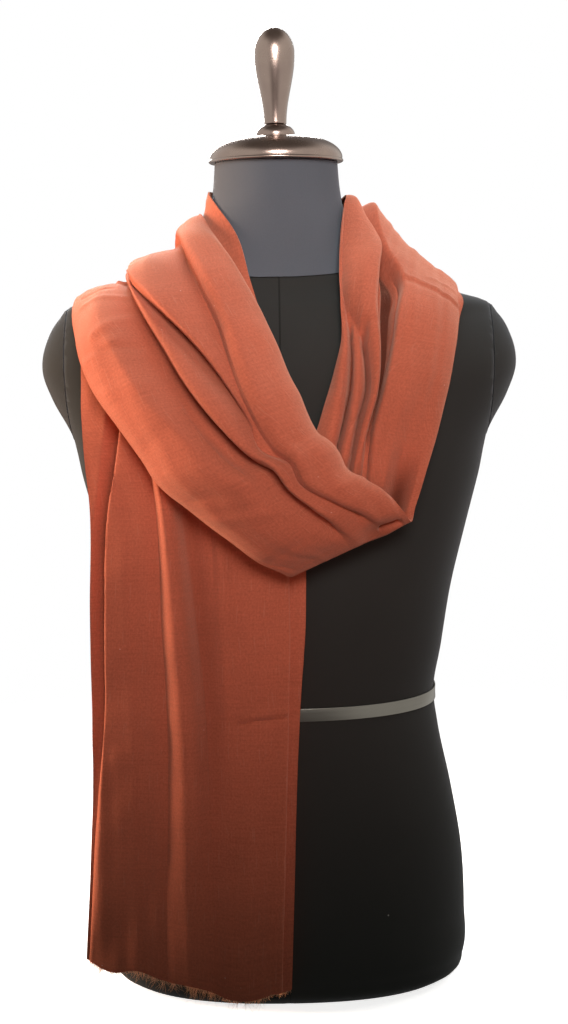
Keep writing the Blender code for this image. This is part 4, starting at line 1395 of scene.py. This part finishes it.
class SHAWL_OT_cloth(bpy.types.Operator):
    """Add the five stretches of the shawl, each a thin wall of fine wool"""

    bl_idname = "shawl.cloth"
    bl_label = "Cloth"

    def execute(self, context):
        settings = context.scene.shawl
        wool = pashmina_material(settings)
        for name, first, last, rows, columns, support in STRETCHES:
            piece, flat = stretch_piece(first, last, rows, columns, settings)
            dress(piece, name + "_cloth", wool, "pashmina", name, angle=70)
        return {"FINISHED"}


# ---------------------------------------------------------------- fringe
def fringe_piece(hem, inward, settings, seed):
    """Add the loose yarn ends of a hem as thin curved threads in small uneven locks."""
    chance = np.random.default_rng(seed)
    hem_run = run_at(hem)
    out = -1 if run_at(inward) > hem_run else 1
    fine = np.linspace(0, 1, HEM_STEPS)
    length = lengths_along(shawl_points(hem_run + out * hem_drop(fine), fine, settings))
    count = int(length[-1] / 10 * settings.fringe_density)
    at = np.interp(np.sort(chance.uniform(0, length[-1], count)), length, fine)
    edge = hem_run + out * hem_drop(at)
    root = shawl_points(edge - out * YARN_HOLD, at, settings)
    down = shawl_points(edge + out * YARN_HOLD, at, settings) - root
    down /= np.linalg.norm(down, axis=-1, keepdims=True)
    lock = YARN_LEAST + (1 - YARN_LEAST) * np.sin(at * 37 + 2.1 * np.sin(at * 17)) ** 4
    reach = settings.fringe_length / MM * lock * chance.beta(2, 3, count) * YARN_STRETCH
    aim = chance.normal(0, YARN_SPREAD, (count, 3))
    aim += YARN_SWAY * np.sin(at * 67)[:, None] * [1, 0, 0]
    curl = chance.normal(0, YARN_CURL, (count, 3))
    curve = bpy.data.curves.new("yarn ends", "CURVE")
    curve.dimensions = "3D"
    curve.bevel_depth = YARN_RADIUS * MM
    curve.bevel_resolution = 0
    curve.use_fill_caps = True
    shares = np.linspace(0, 1, YARN_POINTS)
    share = shares[:, None]
    for index in range(count):
        thread = curve.splines.new("POLY")
        thread.points.add(YARN_POINTS - 1)
        way = down[index] * share + aim[index] * share + curl[index] * share ** 2.4
        places = (root[index] + way * reach[index]) * MM
        thread.points.foreach_set("co", np.insert(places, 3, 1, axis=1).ravel())
        thread.points.foreach_set("radius", 1.1 - YARN_TAPER * shares)
    piece = bpy.data.objects.new("yarn ends", curve)
    bpy.context.scene.collection.objects.link(piece)
    pick(piece)
    bpy.ops.object.convert(target="MESH")
    return bpy.context.object


class SHAWL_OT_fringe(bpy.types.Operator):
    """Add the yarn ends of the two hems"""

    bl_idname = "shawl.fringe"
    bl_label = "Fringes"

    def execute(self, context):
        """Model each fringe in place of its node."""
        settings = context.scene.shawl
        yarn = fringe_material(settings)
        for seed, (name, hem, inward, _) in enumerate(HEMS, FRINGE_SEED):
            piece = fringe_piece(hem, inward, settings, seed)
            dress(piece, name + "_yarn", yarn, "pashmina_fringe", name, angle=60)
        return {"FINISHED"}


# ---------------------------------------------------------------- stage
CAMERA_PLACE = (0.0021, -1.400, 0.585)
CAMERA_PITCH = 7.3           # degrees down
CAMERA_ROLL = -0.9           # degrees
CAMERA_LENS = 58.1           # mm, on a 36 mm sensor along the picture's long side
FLOOR_RADIUS = 1.2           # m
FLOOR_DROP = 0.0005          # m below the form's foot

# name, kind, place and aim in metres, setting that gives its power and share of it, colour,
# whether polish mirrors it, and its own measures
LIGHTS = (
    ("key", "SPOT", (0.10, -1.46, 1.14), (-0.03, 0, 0.69), ("key", 1.0),
     (1.0, 0.95, 0.92), True, {"spot_size": math.radians(41)}),
    ("back", "SPOT", (-0.2, 1.55, 1.15), (-0.02, 0, 0.62), ("key", 0.8),
     (1.0, 0.98, 0.96), True, {"spot_size": math.radians(46)}),
    ("side", "AREA", (-0.98, 0.03, 0.55), (-0.05, -0.05, 0.42), ("side", 1.0),
     (1.0, 0.74, 0.55), False, {"size": 0.3, "size_y": 0.8}),
    ("far side", "AREA", (0.95, 0.2, 0.9), (0, 0, 0.5), ("side", 0.22),
     (1.0, 0.98, 0.96), False, {"size": 0.4, "size_y": 0.9}),
    ("top", "AREA", (0, 0.25, 1.45), (0, -0.05, 0.6), ("side", 0.38),
     (0.80, 0.98, 1.08), False, {"size": 0.6, "size_y": 0.6}),
    ("low", "SPOT", (0.35, -1.25, 0.22), (0.05, -0.1, 0.51), ("key", 0.45),
     (1.0, 0.42, 0.34), False, {"spot_size": math.radians(22)}),
)
LIGHT_KINDS = {
    "SPOT": {"spot_blend": 1.0, "shadow_soft_size": 0.35},
    "AREA": {"shape": "RECTANGLE"},
}


def add_light(name, kind, place, aim, power, colour, mirrored, measures):
    """Add a soft light that looks at a point."""
    light = bpy.data.lights.new(name, kind)
    light.energy = power
    light.color = colour
    for key, value in {**LIGHT_KINDS[kind], **measures}.items():
        setattr(light, key, value)
    lamp = bpy.data.objects.new(name, light)
    bpy.context.scene.collection.objects.link(lamp)
    lamp.location = place
    lamp.visible_glossy = mirrored
    way = Vector(aim) - Vector(place)
    lamp.rotation_euler = way.to_track_quat("-Z", "Y").to_euler()


def room_light(strength):
    """Give the room a white backdrop, pale sides for polish to mirror, and little light."""
    graph = Graph("pale room", "worlds")

    def background(colour, power):
        """A plain surrounding."""
        return graph.add("ShaderNodeBackground", inputs=[colour, power])

    def mix(factor, first, second):
        """Go from the first surrounding to the second."""
        return graph.add("ShaderNodeMixShader", inputs=[factor, first, second])

    way = graph.add("ShaderNodeTexCoord", output="Generated")
    sides = graph.part(way, "X").size().above(0.2, 0.65)
    mirrored = mix(sides, background((0.9, 0.82, 0.78), 0.29), background((1, 0.98, 0.93), 0.95))
    overhead = graph.part(way, "Z").above(0.62, 0.92)
    mirrored = mix(overhead, mirrored, background((0.8, 0.7, 0.62), 0.2))
    diffuse, camera = (graph.add("ShaderNodeLightPath", output=f"Is {ray} Ray")
                       for ray in ("Diffuse", "Camera"))
    dim = mix(diffuse, mirrored, background((0.72, 1.0, 0.92), strength))
    shown = mix(camera, dim, background((1, 1, 1), 1.0))
    graph.put(graph.tree.nodes["World Output"].inputs["Surface"], shown)
    bpy.context.scene.world = graph.owner


class STAGE_OT_build(bpy.types.Operator):
    """Add the floor, the lights and the camera"""

    bl_idname = "shawl.stage"
    bl_label = "Stage"

    def execute(self, context):
        """Build the stage round the finished pieces."""
        settings = context.scene.stage
        bare_scene()
        bpy.ops.mesh.primitive_circle_add(
            vertices=TURNED_STEPS, radius=FLOOR_RADIUS, fill_type="NGON")
        floor = bpy.context.object
        floor.name = "floor"
        floor.location.z = -FLOOR_DROP
        floor.data.materials.append(floor_material())
        floor.visible_diffuse = floor.visible_glossy = False
        for name, kind, place, aim, (setting, share), *looks in LIGHTS:
            add_light(name, kind, place, aim, getattr(settings, setting) * share, *looks)
        room_light(settings.sky)
        camera = bpy.data.objects.new("camera", bpy.data.cameras.new("camera"))
        context.scene.collection.objects.link(camera)
        context.scene.camera = camera
        camera.data.lens = CAMERA_LENS
        tilt = Matrix.Rotation(math.radians(90 - CAMERA_PITCH), 4, "X")
        roll = Matrix.Rotation(math.radians(CAMERA_ROLL), 4, "Z")
        camera.matrix_world = Matrix.Translation(CAMERA_PLACE) @ tilt @ roll
        context.scene.view_settings.view_transform = "Standard"
        return {"FINISHED"}


class SHAWL_PT_panel(bpy.types.Panel):
    """Sizes, colours and steps of the shawl and its form"""

    bl_idname = "SHAWL_PT_panel"
    bl_label = "Shawl"
    bl_space_type = "VIEW_3D"
    bl_region_type = "UI"
    bl_category = "Shawl"

    def draw(self, context):
        """List the settings and the operators."""
        for group in (context.scene.shawl, context.scene.form, context.scene.stage):
            box = self.layout.box()
            for name in group.__annotations__:
                box.prop(group, name)
        for operator in OPERATORS:
            self.layout.operator(operator.bl_idname)


SETTINGS = {"shawl": ShawlSettings, "form": FormSettings, "stage": StageSettings}
OPERATORS = (FORM_OT_body, FORM_OT_band, FORM_OT_cap, SHAWL_OT_cloth, SHAWL_OT_fringe,
             STAGE_OT_build)


def register():
    """Register the settings, the operators and the panel."""
    for name, group in SETTINGS.items():
        bpy.utils.register_class(group)
        setattr(bpy.types.Scene, name, PointerProperty(type=group))
    for item in (*OPERATORS, SHAWL_PT_panel):
        bpy.utils.register_class(item)


def unregister():
    """Undo register."""
    for item in reversed((*OPERATORS, SHAWL_PT_panel)):
        bpy.utils.unregister_class(item)
    for name, group in SETTINGS.items():
        delattr(bpy.types.Scene, name)
        bpy.utils.unregister_class(group)


def main():
    """Model every piece in order."""
    register()
    bpy.ops.shawl.form_body()
    bpy.ops.shawl.form_band()
    bpy.ops.shawl.form_cap()
    bpy.ops.shawl.fringe()
    bpy.ops.shawl.cloth()
    bpy.ops.shawl.stage()


if __name__ == "__main__":
    main()
